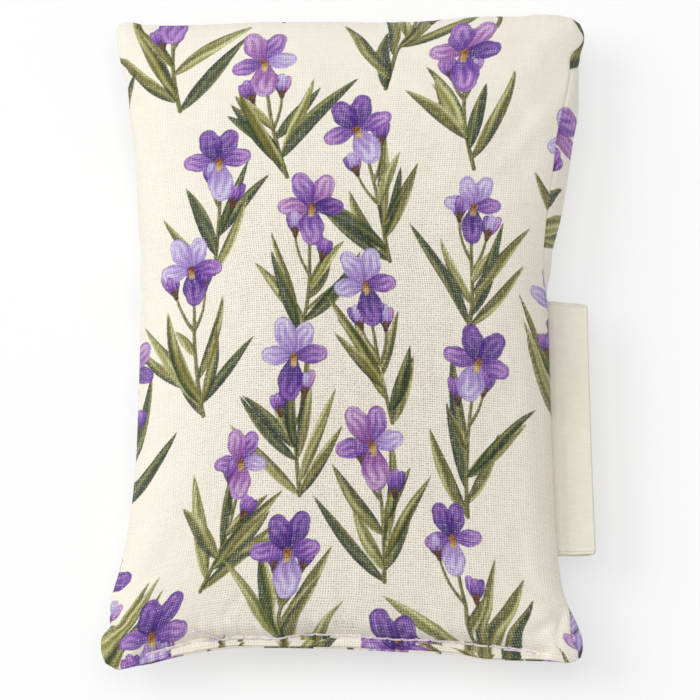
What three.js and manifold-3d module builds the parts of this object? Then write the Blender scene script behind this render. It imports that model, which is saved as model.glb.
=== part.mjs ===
// Scented sachet: a small stuffed pillow of printed cotton, filled with dried flowers.
// Lengths are in millimetres. X runs across the sachet towards its label, Y from the stitched
// hem to the top seam, and Z up from the surface that the sachet lies on.
import * as THREE from "three";
import { mergeVertices } from "three/addons/utils/BufferGeometryUtils.js";
import Module from "manifold-3d";

const wasm = await Module();
wasm.setup();

// Cover outline along its seams. Stuffing draws the edges in between the corners, and the
// corners are rounded off from these widths and this height.
const hemWidth = 105;
const topWidth = 102.6;
const coverHeight = 142;
const sidePull = 7.8;
const sideFlatness = 2.6;
const topPull = 1.4;
const hemPull = 4.2;
const cornerRound = 3;
const cornerSharpness = 22;

// Crown of the stuffed cover above and below the seam, and how steeply it leaves the seam.
const seamHeight = 13;
const frontCrown = 17;
const backCrown = 16;
const crownFlatness = 2.15;
const crownRise = 0.52;

// Cloth, and the edges of it that are turned inside.
const clothThickness = 0.5;
const panelGap = 0.3;
const seamAllowance = 6;
const hemAllowance = 8;
const hemDepth = 3.2;
const hemEndSharpness = 16;

// Row of stitches that closes the hem. Its needle thread and bobbin thread lock in each hole.
const threadDiameter = 0.25;
const threadClearance = 0.1;
const threadSpacing = 0.05;
const stitchLength = 3;
const stitchInset = 2;
const stitchRowWidth = 83;
const tailAlongRow = 6.8;
const tailUpCrown = 2.4;
const tailHoleShare = 0.18;

// Hidden seam round the other three sides.
const seamThreadInset = 1.4;
const seamThreadRamp = 6;
const seamLineSharpness = 12;
const seamLineEndShare = 0.94;

// Label: a woven tape folded in half, with both raw ends sewn into the side seam.
const labelLength = 53;
const labelReach = 8;
const labelRootDepth = 5;
const labelLeaf = 0.3;
const labelLeafGap = 0.2;
const labelFoldRadius = 0.6;
const labelBelowMiddle = 18;
const labelTiltDegrees = 1.8;
const labelClearance = 0.3;

// Dried flowers.
const fillClearance = 0.3;

// Fineness of the faceted surfaces.
const acrossSteps = 14;
const alongSteps = 18;
const seamLineSteps = 66;
const tailSteps = 4;
const threadSides = 5;
const holeSides = 6;
const foldSteps = 5;

// One overrun serves every cut, so that a cutter passes right through what it cuts.
const overrun = 2;

const halfHeight = coverHeight / 2;
const labelTilt = THREE.MathUtils.degToRad(labelTiltDegrees);
const threadRadius = threadDiameter / 2;
const threadLift = threadClearance + threadRadius;
const allowanceTop = panelGap / 2 + clothThickness;
const hemSurface = allowanceTop + clothThickness;
const legOffset = (threadDiameter + threadSpacing) / Math.SQRT2;
const needleHoleRadius =
  (legOffset * Math.SQRT2 + threadRadius + threadClearance) / Math.cos(Math.PI / holeSides);
const labelHalfPack = labelLeaf + labelLeafGap / 2;
const pocketHalf = labelHalfPack + labelClearance;
const fillAboveCloth = threadClearance + threadDiameter + fillClearance;

// How far each face or edge keeps inside the outline, and how far it keeps above the hem.
const outerFace = { inset: 0, hemInset: hemDepth - clothThickness };
const innerFace = { inset: clothThickness, hemInset: hemDepth };
const foldedHem = { inset: 0, hemInset: 0 };
const allowanceEdge = {
  inset: clothThickness + seamAllowance,
  hemInset: hemDepth + hemAllowance,
};
const seamLine = { inset: seamThreadInset, hemInset: hemDepth + seamThreadInset };
const beyondOutline = { inset: -overrun, hemInset: -overrun };

function insideOf({ inset, hemInset }, clearance) {
  return { inset: inset + clearance, hemInset: hemInset + clearance };
}

// Half the cover's width at a height y.
function sideEdge(y) {
  const width = THREE.MathUtils.lerp(hemWidth, topWidth, (1 + y / halfHeight) / 2);
  const s = Math.abs(y / halfHeight);
  return width / 2 - sidePull * (1 - s ** sideFlatness) - cornerRound * s ** cornerSharpness;
}

// How far an end lies from the middle, at a share u of half the width.
function endEdge(u, pull) {
  return halfHeight - pull * (1 - u ** 2) - cornerRound * Math.abs(u) ** cornerSharpness;
}

// A place in plan: u runs from -1 to 1 across, and v from -1 at the hem to 1 at the top seam.
// Beyond the stitched row the flat hem runs out, so that the corners stay stuffed.
function planPoint(u, v, { inset, hemInset }) {
  const hemShare = 1 - Math.abs(u) ** hemEndSharpness;
  const low = inset + (hemInset - inset) * hemShare - endEdge(u, hemPull);
  const high = endEdge(u, topPull) - inset;
  const y = THREE.MathUtils.lerp(low, high, (1 + v) / 2);
  return new THREE.Vector2(u * (sideEdge(y) - inset), y);
}

// Share of the crown's full height: none along the edges, and flat over the middle.
function crownShare(u, v) {
  const across = 1 - Math.abs(u) ** crownFlatness;
  const along = 1 - Math.abs(v) ** crownFlatness;
  return Math.max(across * along, 0) ** crownRise;
}

// Moves even shares from -1 to 1 closer together towards both ends, where the crown is steep.
function crowded(share) {
  return Math.sin((Math.PI / 2) * share);
}

function solidOf(geometry) {
  const bare = geometry.clone();
  bare.deleteAttribute("normal");
  bare.deleteAttribute("uv");
  const merged = mergeVertices(bare);
  const corners = merged.index.array;
  const triVerts = [];
  for (let k = 0; k < corners.length; k += 3) {
    const [a, b, c] = corners.subarray(k, k + 3);
    if (a !== b && b !== c && c !== a) triVerts.push(a, b, c);
  }
  return new wasm.Manifold(
    new wasm.Mesh({
      numProp: 3,
      vertProperties: merged.attributes.position.array,
      triVerts: new Uint32Array(triVerts),
    }),
  );
}

function geometryOf(solid) {
  const mesh = solid.getMesh();
  const geometry = new THREE.BufferGeometry();
  geometry.setAttribute("position", new THREE.BufferAttribute(mesh.vertProperties, mesh.numProp));
  geometry.setIndex(new THREE.BufferAttribute(mesh.triVerts, 1));
  geometry.computeVertexNormals();
  return geometry;
}

// A block in small squares that takes the cover's outline. floor is the height of its lower face
// and top that of its upper one, or a function that gives it at shares u and v. side is 1 above
// the seam and -1 below. The squares of a flat face shrink to its middle and leave a plain fan.
function moulded(side, face, floor, top, hasFoldedHem = false) {
  const isFlat = typeof top === "number";
  const rows = alongSteps + (hasFoldedHem ? 1 : 0);
  const form = new THREE.BoxGeometry(2, 2, 2, acrossSteps, rows, 1);
  const spots = form.attributes.position;
  for (let k = 0; k < spots.count; k += 1) {
    const isUpper = spots.getZ(k) > 0;
    const isRim = Math.max(Math.abs(spots.getX(k)), Math.abs(spots.getY(k))) === 1;
    const row = Math.round(((1 + spots.getY(k)) / 2) * rows) - (rows - alongSteps);
    const u = crowded(spots.getX(k));
    const v = crowded((2 * Math.max(row, 0)) / alongSteps - 1);
    const shrinks = !isRim && (isFlat || !isUpper);
    const place = shrinks ? new THREE.Vector2() : planPoint(u, v, row < 0 ? foldedHem : face);
    const upper = isFlat ? top : top(u, v);
    spots.setXYZ(k, place.x, place.y, side * (isUpper ? upper : floor));
  }
  if (side < 0) form.index.array.reverse();
  return solidOf(form);
}

// The stuffed form on one side of the seam. edge is the height at which the crown leaves the
// outline, and limit is where the surface that the sachet lies on presses the crown flat.
function crowned(side, face, floor, edge, crown, limit, hasFoldedHem) {
  const top = (u, v) => Math.min(edge + (crown - edge) * crownShare(u, v), limit);
  return moulded(side, face, floor, top, hasFoldedHem);
}

// A polyline as a curve whose even steps fall on its own points.
class Route extends THREE.Curve {
  constructor(points) {
    super();
    this.points = points;
  }

  getPoint(t) {
    const last = this.points.length - 1;
    const k = Math.min(Math.floor(t * last), last - 1);
    return this.points[k].clone().lerp(this.points[k + 1], t * last - k);
  }

  getUtoTmapping(share) {
    return share;
  }
}

function threadAlong(points) {
  const section = new THREE.Shape();
  for (let k = 0; k < threadSides; k += 1) {
    const angle = (2 * Math.PI * k) / threadSides;
    const x = threadRadius * Math.cos(angle);
    const y = threadRadius * Math.sin(angle);
    if (k === 0) section.moveTo(x, y);
    else section.lineTo(x, y);
  }
  const thread = new THREE.ExtrudeGeometry(section, {
    steps: points.length - 1,
    extrudePath: new Route(points),
    bevelEnabled: false,
  });
  return solidOf(thread);
}

// How far along Y the hem's folded edge lies, at a place x across.
function hemEdge(x) {
  return -endEdge(x / sideEdge(hemPull - halfHeight), hemPull);
}

// Needle holes along the hem: each hole's place, and the row's direction there.
function needleHoles() {
  const stitches = Math.floor(stitchRowWidth / stitchLength);
  const holes = [];
  for (let k = 0; k <= stitches; k += 1) {
    const x = (k - stitches / 2) * stitchLength;
    const place = new THREE.Vector3(x, hemEdge(x) + stitchInset, 0);
    const climb = hemEdge(x + stitchLength / 2) - hemEdge(x - stitchLength / 2);
    const along = new THREE.Vector3(stitchLength, climb, 0).normalize();
    const across = new THREE.Vector3(-along.y, along.x, 0);
    holes.push({ place, along, across });
  }
  return holes;
}

// One thread of the closing row: side is 1 for the needle thread, on the front, and -1 for the
// bobbin thread, on the back. In each hole it goes in, passes round the other and comes out.
function closingThread(side) {
  const surface = hemSurface + threadLift;
  const bend = legOffset + threadDiameter;
  const points = [];
  needleHoles().forEach(({ place, along, across }) => {
    const at = (s, n, z) =>
      place.clone().addScaledVector(along, s).addScaledVector(across, side * n).setZ(side * z);
    points.push(at(-bend, 0, surface));
    points.push(at(-legOffset, -legOffset, surface - threadRadius));
    points.push(at(-legOffset, -legOffset, -legOffset));
    points.push(at(legOffset, legOffset, -legOffset));
    points.push(at(legOffset, legOffset, surface - threadRadius));
    points.push(at(bend, 0, surface));
  });
  return threadAlong(points);
}

// Height of the front panel's outer face over the seam, at a place in plan.
function frontHeight(x, y) {
  const u = x / sideEdge(y);
  const low = planPoint(u, -1, outerFace).y;
  const high = planPoint(u, 1, outerFace).y;
  const v = THREE.MathUtils.clamp((2 * (y - low)) / (high - low) - 1, -1, 1);
  return hemSurface + (frontCrown - hemSurface) * crownShare(u, v);
}

// The loose end of the needle thread, left lying on the crown beside the row.
function threadTail() {
  const holes = needleHoles();
  const { place } = holes[Math.round(tailHoleShare * (holes.length - 1))];
  const points = [];
  for (let k = 0; k <= tailSteps; k += 1) {
    const share = k / tailSteps;
    const x = place.x + legOffset + threadDiameter - tailAlongRow * share;
    const y = place.y + tailUpCrown * crowded(share);
    points.push(new THREE.Vector3(x, y, frontHeight(x, y) + threadLift * (1 + share)));
  }
  return threadAlong(points);
}

// The line about which the label flexes, just clear of the side seam's furthest point.
function labelHinge() {
  let x = 0;
  for (let k = 0; k <= alongSteps; k += 1) {
    const s = labelLength * (k / alongSteps - 1 / 2);
    x = Math.max(x, sideEdge(s - labelBelowMiddle) + s * Math.tan(labelTilt));
  }
  return new THREE.Vector3(x + pocketHalf, -labelBelowMiddle, 0);
}

const hinge = labelHinge();

// A block square to the label, from a depth inside the hinge line to a reach beyond it.
function labelBlock(depth, reach, length, low, high) {
  const box = new THREE.BoxGeometry(depth + reach, length, high - low);
  box.translate((reach - depth) / 2, 0, (low + high) / 2);
  box.rotateZ(labelTilt).translate(hinge.x, hinge.y, 0);
  return solidOf(box);
}

// The room in the seam that the label's root takes, grown by a margin.
function labelRoom(margin, low, high) {
  const depth = labelRootDepth + labelClearance + margin;
  return labelBlock(depth, overrun, labelLength + 2 * (labelClearance + margin), low, high);
}

function needleHole({ place }) {
  const height = 2 * (hemSurface + overrun);
  const drill = new THREE.CylinderGeometry(needleHoleRadius, needleHoleRadius, height, holeSides);
  return solidOf(drill.rotateX(Math.PI / 2).translate(place.x, place.y, 0));
}

// A cover panel: crowned cloth whose edges turn inside along the seam, over a flat folded hem
// that the needle holes pierce. The cloth passes round the label's root.
function panel(side, crown, limit) {
  const outer = crowned(side, outerFace, panelGap / 2, hemSurface, crown, limit, true);
  const raised = pocketHalf + clothThickness;
  const roundLabel = labelRoom(clothThickness, -raised, raised);
  const cavity = crowned(
    side,
    innerFace,
    allowanceTop,
    allowanceTop,
    crown - clothThickness,
    limit - clothThickness,
  );
  const opening = moulded(side, allowanceEdge, -overrun, allowanceTop + overrun);
  return outer
    .subtract(cavity.subtract(roundLabel))
    .subtract(opening)
    .subtract(labelRoom(0, -pocketHalf, pocketHalf))
    .subtract(wasm.Manifold.union(needleHoles().map(needleHole)));
}

// The filling takes up the inside of the cover. A groove round its rim holds the turned-in
// edges, and a deeper one the label's root.
function filling() {
  const face = insideOf(innerFace, fillClearance);
  const gap = clothThickness + fillClearance;
  const front = crowned(1, face, 0, 0, frontCrown - gap, frontCrown);
  const back = crowned(-1, face, 0, 0, backCrown - gap, seamHeight - gap);
  const grooveHalf = allowanceTop + fillAboveCloth;
  const coreHalf = grooveHalf + seamAllowance;
  const core = moulded(1, insideOf(allowanceEdge, fillClearance), -coreHalf, coreHalf);
  const groove = moulded(1, beyondOutline, -grooveHalf, grooveHalf).subtract(core);
  const labelGrooveHalf = pocketHalf + clothThickness + fillAboveCloth;
  const labelGroove = labelRoom(
    clothThickness + fillClearance + 2 * seamThreadRamp,
    -labelGrooveHalf,
    labelGrooveHalf,
  );
  return front.add(back).subtract(groove).subtract(labelGroove.subtract(core));
}

// One thread of the hidden seam, up the label's side, along the top and down the other side. It
// lies on the inner face of a panel's turned-in edge, and rises over the label's root.
function seamThread(side) {
  const start = Math.atan(seamLineEndShare);
  const points = [];
  for (let k = 0; k <= seamLineSteps; k += 1) {
    const angle = THREE.MathUtils.lerp(-start, Math.PI + start, k / seamLineSteps);
    const ray = new THREE.Vector2(Math.cos(angle), Math.sin(angle));
    const size =
      (Math.abs(ray.x) ** seamLineSharpness + Math.abs(ray.y) ** seamLineSharpness) **
      (1 / seamLineSharpness);
    const place = planPoint(ray.x / size, ray.y / size, seamLine);
    const beside = Math.abs(place.y - hinge.y) - labelLength / 2;
    const lowered = THREE.MathUtils.smoothstep(beside, seamThreadRamp, 2 * seamThreadRamp);
    const raised = place.x > 0 ? 1 - lowered : 0;
    const rest = THREE.MathUtils.lerp(allowanceTop, pocketHalf + clothThickness, raised);
    points.push(new THREE.Vector3(place.x, place.y, side * (rest + threadLift)));
  }
  return threadAlong(points);
}

// The label's free part: two leaves and the rounded fold that joins them.
function labelFlap() {
  const foldX = labelReach - labelFoldRadius;
  const innerRadius = labelFoldRadius - labelLeaf;
  const outline = new THREE.Shape();
  outline.moveTo(0, labelHalfPack);
  outline.lineTo(0, labelLeafGap / 2);
  outline.lineTo(foldX, innerRadius);
  outline.absarc(foldX, 0, innerRadius, Math.PI / 2, -Math.PI / 2, true);
  outline.lineTo(0, -labelLeafGap / 2);
  outline.lineTo(0, -labelHalfPack);
  outline.lineTo(foldX, -labelFoldRadius);
  outline.absarc(foldX, 0, labelFoldRadius, -Math.PI / 2, Math.PI / 2, false);
  const flap = new THREE.ExtrudeGeometry(outline, {
    depth: labelLength,
    bevelEnabled: false,
    curveSegments: foldSteps,
  });
  return flap.rotateX(Math.PI / 2).translate(0, labelLength / 2, 0);
}

// The label's sewn-in ends, pressed together in the seam.
function labelRoot() {
  const end = labelHalfPack + labelClearance / 2;
  return labelBlock(labelRootDepth, -end, labelLength, -labelHalfPack, labelHalfPack);
}

function cloth(color, roughness) {
  return new THREE.MeshStandardMaterial({ color, roughness, metalness: 0 });
}

const printedCotton = cloth(0xefeadc, 0.92);
const sewingThread = cloth(0xe9dfe6, 0.7);
const labelTape = cloth(0xe8e2cf, 0.85);
const driedFlowers = cloth(0x6f6590, 0.95);

function piece(name, geometry, material) {
  const mesh = new THREE.Mesh(geometry, material);
  mesh.name = name;
  return mesh;
}

const front = panel(1, frontCrown, frontCrown);
const back = panel(-1, backCrown, seamHeight);
const needleThread = closingThread(1).add(threadTail());

const cover = new THREE.Group();
cover.position.z = seamHeight;
cover.add(piece("front_panel", geometryOf(front), printedCotton));
cover.add(piece("back_panel", geometryOf(back), printedCotton));
cover.add(piece("dried_flower_filling", geometryOf(filling()), driedFlowers));
cover.add(piece("seam_needle_thread", geometryOf(seamThread(1)), sewingThread));
cover.add(piece("seam_bobbin_thread", geometryOf(seamThread(-1)), sewingThread));
cover.add(piece("closing_needle_thread", geometryOf(needleThread), sewingThread));
cover.add(piece("closing_bobbin_thread", geometryOf(closingThread(-1)), sewingThread));
cover.add(piece("label_root", geometryOf(labelRoot()), labelTape));

const label = new THREE.Group();
label.position.copy(hinge);
label.rotation.z = labelTilt;
label.add(piece("label_flap", labelFlap(), labelTape));
cover.add(label);

const sachet = new THREE.Group();
sachet.add(cover);

export default sachet;
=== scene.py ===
"""Dressed scene of a stuffed cotton sachet: a printed cover, its seams, its label and its filling.

Lengths are in metres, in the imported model's frame: X runs across the sachet towards its label,
Y from the stitched hem to the top seam, and Z up out of the front panel.
"""

import logging
import math
from collections.abc import Callable, Sequence
from dataclasses import dataclass, field, replace
from enum import Enum

import bpy
import numpy as np
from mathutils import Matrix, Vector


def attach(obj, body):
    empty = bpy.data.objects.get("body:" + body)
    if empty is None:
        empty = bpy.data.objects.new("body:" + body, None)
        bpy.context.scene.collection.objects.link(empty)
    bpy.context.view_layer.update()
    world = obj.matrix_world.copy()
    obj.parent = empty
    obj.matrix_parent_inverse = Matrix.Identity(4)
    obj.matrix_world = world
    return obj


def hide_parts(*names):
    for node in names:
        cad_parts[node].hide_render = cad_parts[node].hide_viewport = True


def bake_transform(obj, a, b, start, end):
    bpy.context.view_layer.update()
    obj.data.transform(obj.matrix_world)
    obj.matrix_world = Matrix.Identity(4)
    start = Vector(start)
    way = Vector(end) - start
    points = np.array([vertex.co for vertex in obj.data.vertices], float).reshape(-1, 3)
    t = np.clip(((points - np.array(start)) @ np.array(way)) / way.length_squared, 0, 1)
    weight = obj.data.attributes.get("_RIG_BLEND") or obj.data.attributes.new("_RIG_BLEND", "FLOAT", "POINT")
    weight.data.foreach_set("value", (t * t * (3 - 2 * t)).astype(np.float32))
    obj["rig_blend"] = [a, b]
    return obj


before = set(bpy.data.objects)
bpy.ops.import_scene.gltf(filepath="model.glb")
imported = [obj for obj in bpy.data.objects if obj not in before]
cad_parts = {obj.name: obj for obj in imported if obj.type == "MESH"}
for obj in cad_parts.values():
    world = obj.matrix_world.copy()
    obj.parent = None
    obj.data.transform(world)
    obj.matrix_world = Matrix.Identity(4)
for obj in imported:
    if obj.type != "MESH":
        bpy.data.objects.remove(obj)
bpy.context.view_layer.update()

LOG = logging.getLogger("sachet")
MM = 0.001
CLOTH_MAP = "cloth"
NOISE_NET = 63


class Side(Enum):
    """Which face of the sachet a panel covers, as the sign of its outward Z."""

    FRONT = 1
    BACK = -1


RELIEF_SEEDS = {Side.FRONT: 11, Side.BACK: 23}
PRINT_SEEDS = {Side.FRONT: 5, Side.BACK: 9}


class Layer(Enum):
    """Colour layers of the print, from the first printed to the last."""

    STEM = "print_stem"
    LOW_LEAF = "print_low_leaf"
    LEAF = "print_leaf"
    LOW_BLOOM = "print_low_bloom"
    BLOOM = "print_bloom"


# Arrays and meshes


def smoothstep(low: float, high: float, value: np.ndarray) -> np.ndarray:
    """Return 0 below low, 1 above high, and 3t^2 - 2t^3 of the share t between them."""
    share = np.clip((value - low) / (high - low), 0, 1)
    return share * share * (3 - 2 * share)


def bell(value: np.ndarray, width: float) -> np.ndarray:
    """Return the bell curve exp(-(value / width)^2)."""
    return np.exp(-((value / width) ** 2))


def unit(vectors: np.ndarray) -> np.ndarray:
    """Return the vectors of the last axis at length 1."""
    return vectors / np.maximum(np.linalg.norm(vectors, axis=-1, keepdims=True), 1e-12)


def cubic_weights(t: np.ndarray) -> np.ndarray:
    """Weights of four even values in the Catmull-Rom cubic that joins the second to the third.

    Args:
        t: Shares of the way from the second value to the third.

    Returns:
        The four weights of each share, along a new last axis.
    """
    t2, t3 = t**2, t**3
    return np.stack([-t3 + 2 * t2 - t, 3 * t3 - 5 * t2 + 2, -3 * t3 + 4 * t2 + t, t3 - t2], -1) / 2


def spline_weights(places: np.ndarray, count: int) -> np.ndarray:
    """Weights that read a smooth curve through evenly spaced values.

    Args:
        places: Where to read, in steps from the first inner value.
        count: How many inner values there are. One more stands beyond each end.

    Returns:
        A matrix with a row for each place and a column for each of count + 2 values.
    """
    left = np.clip(np.floor(places).astype(int), 0, count - 2)
    weights = np.zeros((len(places), count + 2))
    np.put_along_axis(weights, left[:, None] + np.arange(4), cubic_weights(places - left), 1)
    return weights


def between(grid: np.ndarray, i: np.ndarray, j: np.ndarray, s: np.ndarray, t: np.ndarray) -> np.ndarray:
    """Read a grid between its values, in straight lines.

    Args:
        grid: The values.
        i: Numbers of the columns just before the places.
        j: Numbers of the rows just before them.
        s: Shares of the way to the next column.
        t: Shares of the way to the next row.

    Returns:
        The value at each place.
    """
    low = grid[i, j] * (1 - s) + grid[i + 1, j] * s
    high = grid[i, j + 1] * (1 - s) + grid[i + 1, j + 1] * s
    return low * (1 - t) + high * t


def soft_noise(x: np.ndarray, y: np.ndarray, size: float, seed: int) -> np.ndarray:
    """Smooth seeded noise from -1 to 1 over a plane.

    Random heights on a square net of the given size are joined by the smoothstep curve.

    Args:
        x: Places across.
        y: Places along.
        size: Spacing of the net.
        seed: Seed of the random heights.

    Returns:
        The noise at each place.
    """
    net = np.random.default_rng(seed).uniform(-1, 1, (NOISE_NET + 1, NOISE_NET + 1))
    column, row = x / size + NOISE_NET / 2, y / size + NOISE_NET / 2
    i, j = np.floor(column).astype(int), np.floor(row).astype(int)
    s, t = smoothstep(0, 1, column - i), smoothstep(0, 1, row - j)
    return between(net, i % NOISE_NET, j % NOISE_NET, s, t)


def table_curve(table: Sequence[tuple[float, float]], places: np.ndarray, blur: float) -> np.ndarray:
    """Read a table of places and values as a rounded curve, in the table's own units.

    The straight runs between the rows are averaged over a window, which rounds their corners.

    Args:
        table: Rows of a place and its value, in rising order of place.
        places: Where to read.
        blur: Half the window's width.

    Returns:
        The value at each place.
    """
    rows = np.array(table)
    shifts = np.linspace(-blur, blur, 9)
    return np.mean([np.interp(places + shift, rows[:, 0], rows[:, 1]) for shift in shifts], axis=0)


def grid_normals(grid: np.ndarray) -> np.ndarray:
    """Unit normals of a grid of points, along the cross product of its two directions."""
    return unit(np.cross(np.gradient(grid, axis=0), np.gradient(grid, axis=1)))


def grid_faces(index: np.ndarray) -> np.ndarray:
    """Squares between the neighbours of a grid of vertex numbers."""
    corners = [index[:-1, :-1], index[1:, :-1], index[1:, 1:], index[:-1, 1:]]
    return np.stack(corners, -1).reshape(-1, 4)


def rim_of(index: np.ndarray) -> np.ndarray:
    """Vertex numbers round a grid's edge, in order and without a repeat."""
    return np.concatenate([index[:-1, 0], index[-1, :-1], index[:0:-1, -1], index[0, :0:-1]])


def wall(first: np.ndarray, second: np.ndarray) -> np.ndarray:
    """Squares between two closed rings of vertex numbers that run side by side."""
    return np.stack([np.roll(first, -1), first, second, np.roll(second, -1)], -1)


def lengths(path: np.ndarray) -> np.ndarray:
    """Length along a path from its start to each of its points."""
    return np.concatenate([[0], np.cumsum(np.linalg.norm(np.diff(path, axis=0), axis=1))])


def resample(values: np.ndarray, length: np.ndarray, steps: np.ndarray) -> np.ndarray:
    """Read points or directions, known at some lengths along a path, at other lengths."""
    return np.stack([np.interp(steps, length, column) for column in values.T], -1)


def mesh_piece(name: str, points: np.ndarray, faces: Sequence[Sequence[int]]) -> bpy.types.Object:
    """Make a smooth-shaded mesh object at the origin.

    Args:
        name: Name of the piece.
        points: Its vertices, in metres.
        faces: Vertex numbers of each face.

    Returns:
        The new object, in the scene.
    """
    mesh = bpy.data.meshes.new(name)
    mesh.from_pydata(points.tolist(), [], [list(face) for face in faces])
    mesh.polygons.foreach_set("use_smooth", np.ones(len(mesh.polygons), bool))
    mesh.validate()
    piece = bpy.data.objects.new(name, mesh)
    bpy.context.scene.collection.objects.link(piece)
    return piece


def two_faced(name: str, sheets: np.ndarray) -> bpy.types.Object:
    """Make a closed piece from the grids of points of its upper and lower faces, and a wall."""
    index = np.arange(sheets[..., 0].size).reshape(sheets.shape[:3])
    upper, lower = index
    faces = [*grid_faces(upper), *grid_faces(lower)[:, ::-1], *wall(rim_of(upper), rim_of(lower))]
    return mesh_piece(name, sheets.reshape(-1, 3), faces)


def dress(piece: bpy.types.Object, material: bpy.types.Material, slot: str, *nodes: str) -> None:
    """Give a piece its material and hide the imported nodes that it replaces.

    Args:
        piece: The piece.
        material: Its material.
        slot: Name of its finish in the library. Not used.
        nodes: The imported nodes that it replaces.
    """
    piece.data.materials.append(material)
    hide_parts(*nodes)
    LOG.info("%s: %d faces", piece.name, len(piece.data.polygons))


def set_map(piece: bpy.types.Object, places: np.ndarray) -> None:
    """Give a piece a UV map from one place for each vertex.

    Args:
        piece: The piece.
        places: A pair for each vertex, in metres of flat cloth.
    """
    corner_vertex = np.zeros(len(piece.data.loops), int)
    piece.data.loops.foreach_get("vertex_index", corner_vertex)
    layer = piece.data.uv_layers.new(name=CLOTH_MAP)
    layer.data.foreach_set("uv", places[corner_vertex].astype(np.float32).ravel())


# Finishes


class Value:
    """A number that a node gives. Arithmetic on it adds Math nodes."""

    def __init__(self, nodes: "Nodes", socket: bpy.types.NodeSocket) -> None:
        """Wrap one output socket of a material."""
        self.nodes = nodes
        self.socket = socket

    def math(self, operation: str, *others: "Value | float", first: bool = True) -> "Value":
        """Add a Math node.

        Args:
            operation: The node's operation.
            others: Its other numbers.
            first: Whether this value is the node's first number, and not its second.

        Returns:
            The node's result.
        """
        order = (self, *others) if first else (*others, self)
        return self.nodes.add("ShaderNodeMath", {"operation": operation}, *order)

    def __add__(self, other: "Value | float") -> "Value":
        """Sum."""
        return self.math("ADD", other)

    def __sub__(self, other: "Value | float") -> "Value":
        """Difference."""
        return self.math("SUBTRACT", other)

    def __rsub__(self, other: float) -> "Value":
        """Difference from a plain number."""
        return self.math("SUBTRACT", other, first=False)

    def __mul__(self, other: "Value | float") -> "Value":
        """Product."""
        return self.math("MULTIPLY", other)

    __radd__ = __add__
    __rmul__ = __mul__

    def __truediv__(self, other: "Value | float") -> "Value":
        """Quotient."""
        return self.math("DIVIDE", other)

    def __pow__(self, other: float) -> "Value":
        """Power."""
        return self.math("POWER", other)

    def __abs__(self) -> "Value":
        """Size without the sign."""
        return self.math("ABSOLUTE")

    def sine(self) -> "Value":
        """Sine of the value in radians."""
        return self.math("SINE")

    def larger(self, other: "Value | float") -> "Value":
        """The larger of two values."""
        return self.math("MAXIMUM", other)

    def step(self, low: "Value | float", high: "Value | float") -> "Value":
        """Smooth step from 0 at low to 1 at high."""
        settings = {"interpolation_type": "SMOOTHSTEP"}
        return self.nodes.add("ShaderNodeMapRange", settings, self, low, high, 0.0, 1.0)


class Nodes:
    """The node tree of one material, ending in a Principled BSDF."""

    def __init__(self, name: str, **constants: float | tuple) -> None:
        """Start a material.

        Args:
            name: Its name.
            constants: Values for the shader's own sockets, with _ for a space.
        """
        self.material = bpy.data.materials.new(name)
        self.material.use_nodes = True
        self.tree = self.material.node_tree
        self.shader = self.tree.nodes["Principled BSDF"]
        for key, value in constants.items():
            self.shader.inputs[key.replace("_", " ").title().replace("Ior", "IOR")].default_value = value

    def node(self, kind: str, settings: dict, *inputs: object) -> bpy.types.Node:
        """Add a node.

        Args:
            kind: Its type.
            settings: Its properties, which are set first.
            inputs: Values or links of its sockets in order.

        Returns:
            The node.
        """
        node = self.tree.nodes.new(kind)
        for key, value in settings.items():
            setattr(node, key, value)
        sockets = [socket for socket in node.inputs if socket.enabled and not socket.hide]
        for socket, value in zip(sockets, inputs):
            if isinstance(value, Value):
                value = value.socket
            if isinstance(value, bpy.types.NodeSocket):
                self.tree.links.new(value, socket)
            else:
                socket.default_value = value
        return node

    def add(self, kind: str, settings: dict, *inputs: object, output: str | None = None) -> Value:
        """Add a node as node() does, and return its output of that name, or its first, as a value."""
        outputs = self.node(kind, settings, *inputs).outputs
        return Value(self, outputs[output] if output else next(s for s in outputs if s.enabled))

    def cloth_place(self) -> tuple[Value, Value, Value]:
        """Where a point lies on the flat cloth: as a vector, across it and along it."""
        place = self.add("ShaderNodeUVMap", {"uv_map": CLOTH_MAP})
        parts = self.node("ShaderNodeSeparateXYZ", {}, place).outputs
        return place, Value(self, parts["X"]), Value(self, parts["Y"])

    def mix(self, share: Value | float, first: object, second: object, blend: str = "MIX") -> Value:
        """Mix two colours.

        Args:
            share: Share of the second colour.
            first: A colour or a value that is one.
            second: Another.
            blend: The node's blend type.

        Returns:
            The mixed colour.
        """
        ready = [(*c, 1) if isinstance(c, tuple) and len(c) == 3 else c for c in (first, second)]
        settings = {"data_type": "RGBA", "blend_type": blend}
        return self.add("ShaderNodeMix", settings, share, *ready)

    def noise(self, vector: Value, scale: float, detail: float = 2.0, rough: float = 0.5) -> Value:
        """Noise from 0 to 1 at a scale in turns for each unit of the vector."""
        return self.add("ShaderNodeTexNoise", {}, vector, scale, detail, rough)

    def scaled(self, vector: Value, factors: tuple[float, float, float]) -> Value:
        """A vector with its parts multiplied by three factors."""
        return self.add("ShaderNodeVectorMath", {"operation": "MULTIPLY"}, vector, factors)

    def finish(self, colour: Value, height: Value, depth: float) -> None:
        """Link what changes over the surface to the shader.

        Args:
            colour: The base colour.
            height: Relief for a Bump node, from 0 to 1.
            depth: How deep a relief of 1 is, in metres.
        """
        self.tree.links.new(colour.socket, self.shader.inputs["Base Color"])
        bump = self.tree.nodes.new("ShaderNodeBump")
        bump.inputs["Distance"].default_value = depth
        self.tree.links.new(height.socket, bump.inputs["Height"])
        self.tree.links.new(bump.outputs["Normal"], self.shader.inputs["Normal"])


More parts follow.
